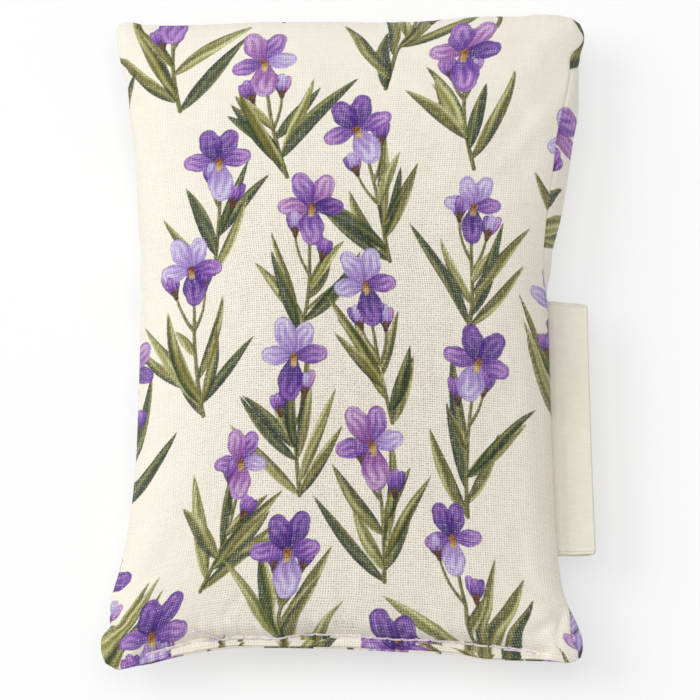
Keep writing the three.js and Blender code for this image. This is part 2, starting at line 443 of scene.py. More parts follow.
@dataclass(frozen=True)
class PrintedCotton:
    """Cream plain-woven cotton with the printed layers that its vertices carry.

    Where a size is given twice, the first is for the warp and the second for the weft. Noise
    scales are in turns for each metre of cloth.
    """

    ground: tuple[float, float, float] = (0.893, 0.843, 0.728)
    # Colour of the painted shade in the gaps between the threads.
    hole: tuple[float, float, float] = (0.36, 0.29, 0.28)
    pitches: tuple[float, float] = (0.555 * MM, 0.50 * MM)
    slub_scales: tuple = ((1900.0, 160.0, 1.0), (160.0, 2100.0, 1.0))
    slub_shifts: tuple[float, float] = (0.27 * MM, 0.25 * MM)
    drift_shifts: tuple[float, float] = (0.8 * MM, 0.6 * MM)
    drift_scale: float = 90.0
    grain_scale: float = 2300.0
    hole_scale: float = 260.0
    cloud_scale: float = 55.0
    crossing: float = 0.35
    relief: float = 0.11 * MM
    fullest: tuple[float, float] = (4 * MM, -16 * MM)
    open_reach: tuple[float, float] = (50 * MM, 80 * MM)
    roughness: float = 0.92

    def material(self) -> bpy.types.Material:
        """Build the weave, the print over it and the holes, with painted light and shade of the weave's
        relief: cloth and print lighter on the thread tops and darker between them, the print also partly worn
        off the tops, and painted shade in the holes.

        Each thread's height is the size of a sine across it, and rises where it crosses over.
        The weave is most open over the fullest part of the stuffing. From there it closes by
        (1 - (x / a)^2)(1 - (y / b)^2).
        """
        n = Nodes("printed_cotton", roughness=self.roughness, specular_ior_level=0.25, sheen_weight=0.12)
        place, x, y = n.cloth_place()
        slubs = [n.noise(n.scaled(place, scales), 1.0) for scales in self.slub_scales]
        drift = n.noise(place, self.drift_scale)
        waves = []
        for k, value in enumerate((x, y)):
            wandering = value + (slubs[k] - 0.5) * self.slub_shifts[k] + drift * self.drift_shifts[k]
            waves.append((wandering * (math.pi / self.pitches[k])).sine())
        over = waves[0] * waves[1] * self.crossing
        warp = abs(waves[0]) * (over + (1 - self.crossing))
        weft = abs(waves[1]) * ((1 - self.crossing) - over)
        height = warp.larger(weft)
        open_x, open_y = (
            (1 - ((value - middle) / reach) ** 2).larger(0.0)
            for value, middle, reach in zip((x, y), self.fullest, self.open_reach)
        )
        opened = open_x * open_y
        gap = 1 - height.step(0.10, opened * 0.20 + 0.50)
        grain = n.noise(place, self.grain_scale, 1.0)
        thread_tone = (slubs[0] + slubs[1]) * 0.5
        # Painted shade of the thread relief on the cloth, darker where the threads lie low, over random tone
        # from the slubs and the clouds.
        slub_tone_and_relief_shade = (thread_tone - 0.5) * 0.24 + (height - 0.75) * 0.16
        shade = n.noise(place, self.cloud_scale, 3.0) * 0.05 + slub_tone_and_relief_shade * (opened * 0.6 + 0.6) + 1.02
        colour = n.mix(1.0, self.ground, shade, "MULTIPLY")
        openness = (grain.step(0.28, 0.80) * 0.8 + 0.14) * (n.noise(place, self.hole_scale) * 1.1 + 0.45)
        openness = openness * (opened * 1.65 + 0.25)
        fuzz = (grain - 0.5) * 0.30 + (height - 0.6) * 0.30
        # Painted light and shade of the thread relief: the ink lighter on the thread tops and darker between
        # them, over random dye tone from the slubs and the grain.
        dye_tone_and_relief_shade = height * 0.55 + (thread_tone - 0.5) * 0.9 + (grain - 0.5) * 0.5 + 0.66
        # Thread tops that show the cloth through the print: partly ink worn off them, partly a painted
        # highlight on the tops.
        bare = (height + (grain - 0.5) * 1.1 + (thread_tone - 0.5) * 1.2).step(0.72, 1.25) * 0.42
        for layer in Layer:
            ink = n.node("ShaderNodeAttribute", {"attribute_name": layer.value})
            edge = Value(n, ink.outputs["Alpha"])
            mask = (edge + fuzz * 0.55).step(-0.09, 0.15) * (0.97 - bare)
            tinted = n.mix(1.0, Value(n, ink.outputs["Color"]), dye_tone_and_relief_shade, "MULTIPLY")
            colour = n.mix(mask, colour, tinted)
        # Painted shade in the gaps between the threads, strongest where the weave is most open.
        colour = n.mix(gap * openness, colour, self.hole, "MULTIPLY")
        n.finish(colour, height * (opened * 0.4 + 0.6), self.relief)
        return n.material


@dataclass(frozen=True)
class SewingThread:
    """Spun thread, pale with a pink cast, fuzzy along its plies."""

    pale: tuple[float, float, float] = (0.87, 0.80, 0.84)
    shaded: tuple[float, float, float] = (0.66, 0.56, 0.61)
    streak_scale: float = 900.0
    fuzz_scale: float = 5000.0
    fuzz_depth: float = 0.03 * MM
    roughness: float = 0.75

    def material(self) -> bpy.types.Material:
        """Build streaks of the two colours."""
        n = Nodes("sewing_thread", roughness=self.roughness, sheen_weight=0.2)
        place = n.add("ShaderNodeTexCoord", {}, output="Object")
        streak = n.noise(place, self.streak_scale, 3.0, 0.6)
        colour = n.mix(streak.step(0.35, 0.70), self.pale, self.shaded)
        n.finish(colour, n.noise(place, self.fuzz_scale), self.fuzz_depth)
        return n.material


@dataclass(frozen=True)
class TwillTape:
    """Cream tape in a fine diagonal weave, with a thick selvedge at each end."""

    pale: tuple[float, float, float] = (0.90, 0.845, 0.715)
    dark: tuple[float, float, float] = (0.40, 0.31, 0.17)
    rib_pitch: float = 0.52 * MM
    rib_slant: float = 1.05
    rib_wobble: float = 0.30 * MM
    wobble_scale: float = 500.0
    slub_scales: tuple[float, float, float] = (300.0, 2200.0, 1.0)
    cloud_scale: float = 300.0
    selvedge: float = 0.7 * MM
    stitch_width: float = 0.16 * MM
    stitch_pitch: float = 0.58 * MM
    cord_edge: tuple[float, float] = (0.15 * MM, 0.40 * MM)
    relief: float = 0.09 * MM
    half_length: float = 26.5 * MM
    roughness: float = 0.88

    def material(self) -> bpy.types.Material:
        """Build the diagonal ribs, with painted shade of their relief, and the two selvedges."""
        n = Nodes("label_tape", roughness=self.roughness, sheen_weight=0.15)
        place, across, along = n.cloth_place()
        wobble = (n.noise(place, self.wobble_scale) - 0.5) * self.rib_wobble
        turns = 2 * math.pi / self.rib_pitch
        rib = ((across * self.rib_slant + along + wobble) * turns).sine() * 0.5 + 0.5
        pick = (across * (2 * turns)).sine() * 0.5 + 0.5
        inset = self.half_length - abs(along)
        stitch = 1 - abs(inset - self.selvedge).step(0.0, self.stitch_width)
        dots = stitch * (across * (2 * math.pi / self.stitch_pitch)).sine().step(-0.2, 0.5)
        cord = 1 - inset.step(*self.cord_edge)
        height = rib * 0.7 + pick * 0.3 - dots * 0.8 + cord * 0.8
        slub = n.noise(n.scaled(place, self.slub_scales), 1.0)
        # Painted shade of the weave's relief: the ribs and picks lighter on their tops, over random tone from
        # the clouds and the slubs.
        shade = rib * 0.13 + pick * 0.05 + n.noise(place, self.cloud_scale, 3.0) * 0.10 + slub * 0.12 + 0.76
        colour = n.mix(1.0, self.pale, shade, "MULTIPLY")
        colour = n.mix(dots * 0.50 + cord * 0.14, colour, self.dark)
        n.finish(colour, height, self.relief)
        return n.material


@dataclass(frozen=True)
class DriedBuds:
    """Dried flower buds, dusty violet with grey-green calyxes."""

    bud: tuple[float, float, float] = (0.17, 0.13, 0.30)
    calyx: tuple[float, float, float] = (0.20, 0.20, 0.13)
    bud_scale: float = 420.0
    relief: float = 0.4 * MM
    roughness: float = 0.95

    def material(self) -> bpy.types.Material:
        """Build a colour for each bud-sized cell."""
        n = Nodes("dried_flowers", roughness=self.roughness)
        place = n.add("ShaderNodeTexCoord", {}, output="Object")
        cells = n.node("ShaderNodeTexVoronoi", {}, place, self.bud_scale)
        tint = n.add("ShaderNodeSeparateXYZ", {}, cells.outputs["Color"])
        colour = n.mix(tint, self.bud, self.calyx)
        n.finish(colour, 1 - Value(n, cells.outputs["Distance"]), self.relief)
        return n.material


@dataclass(frozen=True)
class StudioFloor:
    """Matt white paper, which the camera sees nearly white."""

    colour: tuple[float, float, float] = (0.97, 0.97, 0.97)
    glow: float = 0.52

    def material(self) -> bpy.types.Material:
        """Build the paper, mixed with plain white where the camera or a gloss looks at it."""
        n = Nodes("studio_floor", base_color=(*self.colour, 1), roughness=0.9, specular_ior_level=0.1)
        path = n.node("ShaderNodeLightPath", {}).outputs
        seen = Value(n, path["Is Camera Ray"]) + Value(n, path["Is Glossy Ray"])
        seen = (seen + Value(n, path["Is Transmission Ray"])).math("MINIMUM", 1.0)
        white = n.node("ShaderNodeEmission", {}, (1.0, 1.0, 1.0, 1.0), 1.0)
        both = n.node("ShaderNodeMixShader", {}, seen * self.glow, n.shader.outputs[0], white.outputs[0])
        n.tree.links.new(both.outputs[0], n.tree.nodes["Material Output"].inputs["Surface"])
        return n.material


# The cover's form


@dataclass
class CoverForm:
    """The stuffed cover as two sheets of cloth that share their outline.

    Shares u and v run from -1 to 1 across the sachet and from its folded hem to its top seam.
    The tables of the outline, the roll and the row's lift have rows of a place and a value. They
    and the windows that round them are in millimetres.
    """

    flat_width: float = 103.0 * MM
    flat_height: float = 144.0 * MM
    flat_corner: float = 1.8 * MM
    corner_sharpness: int = 26
    across: int = 60
    along: int = 72
    row_end: float = 0.80
    ear_start: float = 0.90
    end_draw: float = 0.035
    side_draw: float = 0.145
    side_draw_power: float = 2.6
    crown: float = 15.5 * MM
    crown_flatness: float = 2.3
    crown_rise: float = 0.52
    crown_lump: float = 0.12 * MM
    crown_lump_size: float = 5.0 * MM
    crown_seed: int = 4
    front_height: float = 17.0 * MM
    back_height: float = 16.0 * MM
    seam_height: float = 13.0 * MM
    rest_softness: float = 1.3 * MM
    sim_scale: float = 10.0
    sim_frames: int = 14
    sim_volume: float = 252e-6
    sim_pressure: float = 60.0
    end_pressure: float = 0.35
    most_move: float = 9.0 * MM
    fit_rounds: int = 3
    edge_window: float = 1.6
    row_window: float = 0.8
    roll_window: float = 3.0
    right_edge: tuple = (
        (-72, 51.4), (-67, 51.1), (-64.6, 50.0), (-63, 49.3), (-60.4, 48.8), (-57.8, 47.5), (-55.6, 46.0),
        (-47.8, 44.8), (-38, 44.3), (-25, 43.9), (-12, 43.6), (8.2, 43.3), (12, 43.5), (16.9, 44.3),
        (25.8, 46.2), (34.5, 47.9), (43.5, 49.3), (51.4, 50.7), (56.2, 51.0), (60.4, 50.3), (65.0, 52.5),
        (69, 52.8), (72, 53.0),
    )  # fmt: skip
    left_edge: tuple = (
        (-72, -52.6), (-67, -52.0), (-64.4, -51.4), (-61.6, -50.6), (-59.2, -49.6), (-55.7, -49.4),
        (-51.7, -48.1), (-47.5, -47.0), (-43.2, -46.1), (-34.7, -45.0), (-26, -44.3), (-8.8, -43.9),
        (8.7, -43.7), (17.4, -44.0), (26.3, -44.3), (35.1, -45.1), (44.1, -45.9), (53, -47.1),
        (61.5, -48.8), (66.8, -50.6), (72, -51.4),
    )  # fmt: skip
    top_edge: tuple = (
        (-53, 72.6), (-48, 71.6), (-44.6, 70.3), (-42.8, 69.9), (-37.6, 69.7), (-32.4, 69.8), (-24.6, 70.0),
        (-19.3, 70.3), (-1, 70.2), (6.7, 70.0), (17, 70.2), (24, 70.9), (30, 71.3), (38, 71.2),
        (42, 71.9), (48, 71.5), (53, 71.2),
    )  # fmt: skip
    hem_edge: tuple = (
        (-53, -70.4), (-51, -70.6), (-50, -71.1), (-48, -71.1), (-46.3, -70.9), (-44.4, -70.1),
        (-41.3, -69.3), (-36.2, -67.9), (-31.2, -66.9), (-23.7, -65.7), (-18.7, -65.8), (-1, -66.0),
        (6.5, -66.4), (16.5, -66.8), (24, -67.5), (29, -68.6), (36.5, -68.7), (42, -68.8), (46.6, -70.0),
        (49.5, -70.2), (53, -70.0),
    )  # fmt: skip
    roll: tuple = (
        (-72, 0.0), (-69.5, 0.0), (-66, 1.7), (-60.5, 2.0), (-57, 0.0), (3, 0.0), (9, 0.6), (15, 1.9),
        (21, 2.8), (28, 3.5), (42, 4.0), (53, 3.1), (60, 1.8), (66, 0.3),
    )  # fmt: skip
    row_lift: tuple = (
        (-42, -0.15), (-39.5, -0.23), (-36, -0.08), (-33, 0.2), (-30.5, 0.27), (-27, -0.03), (-24.8, -0.15),
        (-20, 0.05), (-13.5, -0.1), (-10.6, 0.6), (-7.7, 0.8), (-4.9, 0.9), (-1, 0.55), (3.6, 0.72),
        (7.4, 0.42), (12, 0.3), (17, 0.5), (22.3, 0.4), (25.3, 0.5), (28.3, 0.75), (31.2, 0.68),
        (34.2, 0.3), (37.2, 0.0), (39, -0.25), (40.5, -0.55), (44, -0.5),
    )  # fmt: skip
    lifted_rows: int = 8
    front: np.ndarray = field(init=False, repr=False)
    back: np.ndarray = field(init=False, repr=False)

    def __post_init__(self) -> None:
        """Press the form and fit it to its outline."""
        self.front, self.back = self.pressed()
        self.fit()
        self.lift_row()
        self.turn()
        self.settle()

    def shares(self) -> tuple[np.ndarray, np.ndarray]:
        """Shares u and v at each point of a sheet."""
        u = np.linspace(-1, 1, self.across + 1)
        v = np.linspace(-1, 1, self.along + 1)
        return np.meshgrid(u, v, indexing="ij")

    def rounding(self, share: np.ndarray) -> np.ndarray:
        """How far the cloth's edge is drawn in near a corner, by a high power of the share."""
        return self.flat_corner * np.abs(share) ** self.corner_sharpness

    def flat(self, u: np.ndarray, v: np.ndarray) -> tuple[np.ndarray, np.ndarray]:
        """Where a point lies on the flat cloth, whose corners are rounded off.

        Args:
            u: Share across.
            v: Share along.

        Returns:
            Its place across and along.
        """
        return u * (self.flat_width / 2 - self.rounding(v)), v * (self.flat_height / 2 - self.rounding(u))

    def stitched(self, u: np.ndarray) -> np.ndarray:
        """How far the closing row holds the hem flat: 1 along the row and 0 in the corners."""
        return 1 - smoothstep(self.row_end, self.ear_start, np.abs(u))

    def started(self) -> tuple[np.ndarray, np.ndarray]:
        """The two sheets before pressing: the flat outline drawn in, with a smooth crown.

        The crown's share is a power of (1 - |u|^n)(1 - |w|^n), where w runs from -1 at the
        stitched row to 1 at the top.
        """
        u, v = self.shares()
        x, y = self.flat(u, v)
        y = y * (1 - self.end_draw * (1 - u**2))
        x = x * (1 - self.side_draw * (1 - np.abs(v) ** self.side_draw_power))
        row = (2 / self.along) * self.stitched(u)
        w = np.clip((v - row / 2) / (1 - row / 2), -1, 1)
        power = self.crown_flatness
        share = np.clip((1 - np.abs(u) ** power) * (1 - np.abs(w) ** power), 0, 1) ** self.crown_rise
        z = self.crown * share
        z += self.crown_lump * soft_noise(x, y, self.crown_lump_size, self.crown_seed) * share
        return np.stack([x, y, z], -1), np.stack([x, y, -z], -1)

    def pressed(self) -> tuple[np.ndarray, np.ndarray]:
        """Let air pressure press the flat cloth out from the started form.

        Blender's cloth solver works best on large objects, so the form is scaled up for it.

        Returns:
            The front and back sheets, each a grid of points.
        """
        front, back = self.started()
        u, v = self.shares()
        index = np.arange(u.size).reshape(u.shape)
        joined = (np.abs(u) == 1) | (np.abs(v) == 1)
        joined[:, 1] |= np.abs(u[:, 1]) < (self.row_end + self.ear_start) / 2
        under = np.where(joined, index, 0)
        under[~joined] = u.size + np.arange((~joined).sum())
        front[:, 1, 2][joined[:, 1]] = 0
        start = np.concatenate([front.reshape(-1, 3), back[~joined]])
        plane = np.stack([*self.flat(u, v), np.zeros_like(u)], -1)
        rest = np.concatenate([plane.reshape(-1, 3), plane[~joined]])
        faces = np.concatenate([grid_faces(index), grid_faces(under)[:, ::-1]])
        cloth = mesh_piece("pressing", start * self.sim_scale, faces)
        cloth.shape_key_add(name="start")
        flat_key = cloth.shape_key_add(name="flat")
        flat_key.data.foreach_set("co", (rest * self.sim_scale).ravel())
        flat_key.value = 0
        self.add_cloth(cloth, flat_key, np.concatenate([v.ravel(), v[~joined]]))
        scene = bpy.context.scene
        for step in range(1, self.sim_frames + 1):
            scene.frame_set(step)
        shaped = cloth.evaluated_get(bpy.context.evaluated_depsgraph_get()).data
        moved = np.zeros(len(shaped.vertices) * 3)
        shaped.vertices.foreach_get("co", moved)
        moved = moved.reshape(-1, 3) / self.sim_scale
        shift = moved - start
        reach = np.linalg.norm(shift, axis=1, keepdims=True)
        moved = start + shift * np.minimum(1, self.most_move / np.maximum(reach, 1e-9))
        LOG.info("pressed in %d steps, furthest move %.1f mm", self.sim_frames, reach.max() / MM)
        bpy.data.objects.remove(cloth)
        scene.frame_set(1)
        return moved[index], moved[under]

    def add_cloth(self, cloth: bpy.types.Object, rest: bpy.types.ShapeKey, share: np.ndarray) -> None:
        """Give the pressing mesh its cloth modifier.

        Args:
            cloth: The mesh.
            rest: The shape key that holds the flat cloth.
            share: Share v of each vertex. The pressure eases towards both ends.
        """
        levels = np.round(self.end_pressure + (1 - self.end_pressure) * (1 - np.abs(share) ** 3), 2)
        group = cloth.vertex_groups.new(name="pressure")
        for level in np.unique(levels):
            group.add(np.nonzero(levels == level)[0].tolist(), float(level), "REPLACE")
        modifier = cloth.modifiers.new("cloth", "CLOTH")
        settings = modifier.settings
        values = {
            "quality": 8, "mass": 0.3, "air_damping": 3, "tension_stiffness": 100,
            "compression_stiffness": 100, "shear_stiffness": 5, "bending_stiffness": 0.1,
            "tension_damping": 10, "compression_damping": 10, "shear_damping": 10,
            "bending_damping": 1, "use_pressure": True, "uniform_pressure_force": 0,
            "use_pressure_volume": True, "target_volume": self.sim_volume * self.sim_scale**3,
            "pressure_factor": self.sim_pressure, "vertex_group_pressure": group.name,
            "rest_shape_key": rest,
        }  # fmt: skip
        for key, value in values.items():
            setattr(settings, key, value)
        settings.effector_weights.gravity = 0
        modifier.collision_settings.use_collision = False
        modifier.point_cache.frame_start = 1
        modifier.point_cache.frame_end = self.sim_frames
        bpy.context.scene.frame_end = self.sim_frames

    def fit(self) -> None:
        """Stretch both sheets evenly, row by row and column by column, to the real outline.

        The corners are rounded off as the flat cloth's are.
        """
        u, v = self.shares()
        sides = (self.left_edge, self.right_edge), self.rounding(v[0])
        ends = (self.hem_edge, self.top_edge), self.rounding(u[:, 0])
        for axis, (tables, rounding) in [*enumerate((sides, ends))] * self.fit_rounds:
            places = np.moveaxis(self.front, axis, 0)[[0, -1], :, 1 - axis] / MM
            low, high = (table_curve(*pair, self.edge_window) * MM for pair in zip(tables, places))
            self.stretch(axis, low + rounding, high - rounding)

    def stretch(self, axis: int, low: np.ndarray, high: np.ndarray) -> None:
        """Stretch both sheets along one axis, so that their edges come to lie at given places.

        Args:
            axis: 0 for across and 1 for along.
            low: Where the low edge goes, for each row or column.
            high: Where the high edge goes.
        """
        edge = np.moveaxis(self.front[..., axis], axis, 0)
        old_low, old_high = edge[0].copy(), edge[-1].copy()
        for sheet in (self.front, self.back):
            lines = np.moveaxis(sheet[..., axis], axis, 0)
            lines[:] = low + (high - low) * (lines - old_low) / (old_high - old_low)

    def lift_row(self) -> None:
        """Move the closing row to its real height above the hem, and the next rows less and less."""
        rows = np.arange(1, self.lifted_rows + 1)
        held = self.stitched(self.shares()[0][:, 0])
        lift = table_curve(self.row_lift, self.front[:, 1, 0] / MM, self.row_window) * MM * held
        fade = 1 - smoothstep(1, self.lifted_rows + 1, rows)
        for sheet in (self.front, self.back):
            sheet[:, rows, 1] += lift[:, None] * fade

    def turn(self) -> None:
        """Roll the cloth round the stuffing, so that the right seam climbs and the left one sinks.

        In each row the front and the back make one loop, along which every point moves by the
        same length.
        """
        loop = np.concatenate([self.front, self.back[-2:0:-1]])
        count = len(loop)
        length = np.linalg.norm(np.diff(loop, axis=0, append=loop[:1]), axis=-1).sum(0)
        travel = table_curve(self.roll, self.front[-1, :, 1] / MM, self.roll_window) * MM / (length / count)
        places = np.arange(count)[:, None] - travel
        left = np.floor(places).astype(int)
        weights = cubic_weights(places - left)[..., None]
        near = [np.take_along_axis(loop, ((left + k) % count)[..., None], 0) for k in (-1, 0, 1, 2)]
        turned = sum(weights[:, :, k] * points for k, points in enumerate(near))
        self.front = turned[: self.across + 1]
        self.back = np.concatenate([turned[:1], turned[: self.across - 1 : -1]])

    def settle(self) -> None:
        """Set the crowns' heights and flatten the back softly where the sachet rests."""
        crown = self.front[..., 2].max()
        depth = -self.back[..., 2].min()
        for sheet in (self.front, self.back):
            z = sheet[..., 2]
            z = np.where(z > 0, z * self.front_height / crown, z * self.back_height / depth)
            z = z + self.seam_height
            sheet[..., 2] = (z + np.sqrt(z**2 + self.rest_softness**2)) / 2

    def surface(self, side: Side, u: np.ndarray, v: np.ndarray) -> np.ndarray:
        """Smooth points of one sheet.

        Args:
            side: Which sheet.
            u: Shares across, a list of its own.
            v: Shares along, another list or one for each share across.

        Returns:
            A grid of points.
        """
        near, far = (self.front, self.back) if side is Side.FRONT else (self.back, self.front)
        grid = np.zeros((self.across + 3, self.along + 3, 3))
        grid[1:-1, 1:-1] = near
        grid[0, 1:-1], grid[-1, 1:-1] = far[1], far[-2]
        held = self.stitched(np.linspace(-1, 1, self.across + 1))[:, None]
        straight = 2 * near[:, 0] - near[:, 1]
        grid[1:-1, 0] = far[:, 1] + (straight - far[:, 1]) * held
        grid[1:-1, -1] = far[:, -2]
        for end, next_in in ((0, 1), (-1, -2)):
            grid[end, 0] = grid[next_in, 0]
            grid[end, -1] = grid[next_in, -1]
        weigh_u = spline_weights((1 + u) / 2 * self.across, self.across + 1)
        lines = np.einsum("ai,ijk->ajk", weigh_u, grid)
        places = np.broadcast_to((1 + v) / 2 * self.along, (len(u), np.shape(v)[-1]))
        weigh_v = spline_weights(places.ravel(), self.along + 1)
        return weigh_v.reshape(*places.shape, -1) @ lines


# The print


@dataclass(frozen=True)
class Ink:
    """The colours of one printed shape, in linear light, and how they run over it.

    The three colours follow the band a * across + l * (2 * along - 1) + s * sin(k * across + w),
    where w waves with the length, from dark at -1 over middle to light at 1. The edging is the
    share of the dark colour at the shape's edge.
    """

    dark: tuple[float, float, float]
    middle: tuple[float, float, float]
    light: tuple[float, float, float]
    across: float = 0.0
    along: float = 0.7
    streak: float = 0.4
    lines: float = 9.0
    edging: float = 0.6
    waver: float = 1.6
    waves: float = 6.0
    steep: tuple[float, float] = (0.1, 0.9)


DEEP_PETAL = Ink((0.030, 0.010, 0.115), (0.088, 0.030, 0.26), (0.27, 0.115, 0.46))
MID_PETAL = Ink((0.060, 0.020, 0.20), (0.19, 0.070, 0.39), (0.50, 0.27, 0.62))
PALE_PETAL = Ink((0.16, 0.075, 0.38), (0.42, 0.29, 0.64), (0.66, 0.61, 0.83))
ROSY_PETAL = Ink((0.10, 0.022, 0.17), (0.34, 0.12, 0.42), (0.62, 0.40, 0.68))
THROAT = Ink((0.16, 0.04, 0.03), (0.50, 0.27, 0.035), (0.70, 0.58, 0.30), edging=0.3)
CALYX = Ink((0.045, 0.020, 0.012), (0.15, 0.060, 0.022), (0.24, 0.17, 0.05), 0.5, 0.2, 0.6)
GRASS_LEAF = Ink((0.036, 0.058, 0.026), (0.165, 0.15, 0.03), (0.52, 0.51, 0.215), 0.85, 0.15, 0.5, 5.0, 0.25)
FRESH_LEAF = Ink((0.090, 0.105, 0.026), (0.30, 0.285, 0.080), (0.66, 0.65, 0.34), 0.7, 0.2, 0.6, 6.0, 0.2)
DEEP_LEAF = Ink((0.020, 0.038, 0.020), (0.050, 0.078, 0.032), (0.23, 0.22, 0.060), 0.7, 0.1, 0.6, 5.0, 0.3)
STALK = Ink((0.050, 0.065, 0.022), (0.165, 0.150, 0.035), (0.34, 0.32, 0.11), 0.8, 0.1, 0.4, 4.0, 0.2)
LEAVES = (GRASS_LEAF, GRASS_LEAF, FRESH_LEAF, DEEP_LEAF)
BUDS = ((DEEP_PETAL, ROSY_PETAL, PALE_PETAL), (MID_PETAL, DEEP_PETAL, MID_PETAL))
BLOSSOMS = (
    (DEEP_PETAL, DEEP_PETAL, MID_PETAL, MID_PETAL, PALE_PETAL),
    (MID_PETAL, ROSY_PETAL, PALE_PETAL, MID_PETAL, ROSY_PETAL),
    (ROSY_PETAL, MID_PETAL, DEEP_PETAL, ROSY_PETAL, MID_PETAL),
    (PALE_PETAL, PALE_PETAL, MID_PETAL, PALE_PETAL, DEEP_PETAL),
)


@dataclass
class PrintedField:
    """The print on one panel: for each layer, an ink colour and a distance inside its edge."""

    x: np.ndarray
    y: np.ndarray
    spread: float = 1.2 * MM
    overlap: float = 0.1 * MM
    edging_width: float = 0.4 * MM
    phase_turns: tuple[float, float] = (1931.0, 2713.0)
    layers: dict = field(init=False, repr=False)

    def __post_init__(self) -> None:
        """Start with bare cloth."""
        self.layers = {layer: np.zeros((self.x.size, 4)) for layer in Layer}
        for values in self.layers.values():
            values[:, 3] = -self.spread

    def stroke(
        self, layer: Layer, spine: np.ndarray, half_width: Callable[[np.ndarray], np.ndarray], ink: Ink
    ) -> None:
        """Print one shape: the places within a changing distance of a curved spine.

        Args:
            layer: The layer it goes to, over what is there.
            spine: Points of its middle line.
            half_width: Half its width, from the share along the spine.
            ink: Its colours.
        """
        most = half_width(np.linspace(0, 1, 33)).max() + self.spread
        low, high = spine.min(0) - most, spine.max(0) + most
        near = (self.x > low[0]) & (self.x < high[0]) & (self.y > low[1]) & (self.y < high[1])
        picked = np.nonzero(near)[0]
        if not len(picked):
            return
        spot = np.stack([self.x[picked], self.y[picked]], -1)[:, None]
        a, b = spine[:-1], spine[1:]
        run = b - a
        share = np.clip(((spot - a) * run).sum(-1) / (run * run).sum(-1), 0, 1)
        offset = spot - (a + share[..., None] * run)
        distance = np.linalg.norm(offset, axis=-1)
        closest = distance.argmin(1)
        rows = np.arange(len(picked))
        along = (closest + share[rows, closest]) / len(run)
        gap = distance[rows, closest]
        turned = run[closest, 0] * offset[rows, closest, 1] - run[closest, 1] * offset[rows, closest, 0]
        width = half_width(along)
        inside = width - gap
        values = self.layers[layer]
        old = values[picked, 3]
        wins = (inside > -self.spread) & ((inside > -self.overlap) | (inside > old))
        across = np.clip(np.sign(turned) * gap / np.maximum(width, self.overlap), -1, 1)
        phase = float(spine[0] @ np.array(self.phase_turns) % (2 * math.pi))
        colour = self.tint(ink, along, across, phase)
        edge = (1 - smoothstep(0, self.edging_width, inside))[:, None] * ink.edging
        colour = colour * (1 - edge) + np.array(ink.dark) * edge
        chosen = picked[wins]
        values[chosen, :3] = colour[wins]
        values[chosen, 3] = np.maximum(inside, old)[wins]

    @staticmethod
    def tint(ink: Ink, along: np.ndarray, across: np.ndarray, phase: float) -> np.ndarray:
        """Colour of a stroke at shares along and across it, by its ink's band."""
        wave = ink.lines * across + ink.waver * np.sin(along * ink.waves + phase) + phase
        band = ink.across * across + ink.along * (2 * along - 1) + ink.streak * np.sin(wave)
        light = smoothstep(*ink.steep, band)[:, None]
        dark = smoothstep(*ink.steep, -band)[:, None]
        middle = 1 - light - dark
        return np.array(ink.middle) * middle + np.array(ink.light) * light + np.array(ink.dark) * dark

    def attributes(self, piece: bpy.types.Object, order: np.ndarray) -> None:
        """Store the layers on a piece, the distance in millimetres as alpha.

        Args:
            piece: The piece.
            order: Which of the field's places each vertex has.
        """
        for layer, values in self.layers.items():
            stored = values[order].copy()
            stored[:, 3] /= MM
            attribute = piece.data.attributes.new(layer.value, "FLOAT_COLOR", "POINT")
            attribute.data.foreach_set("color", stored.astype(np.float32).ravel())


def bent(start: np.ndarray, angle: float, length: float, curl: float, steps: int = 12) -> np.ndarray:
    """Points of a line that bends evenly.

    Its heading turns in step with the length from angle to angle plus curl, both from +Y.

    Args:
        start: Its first point.
        angle: Its first heading.
        length: Its length.
        curl: How far it turns.
        steps: Number of its segments.

    Returns:
        Its points.
    """
    share = (np.arange(steps) + 0.5) / steps
    heading = angle + curl * share
    step = np.stack([np.sin(heading), np.cos(heading)], -1) * (length / steps)
    return np.concatenate([start[None], start + np.cumsum(step, 0)])


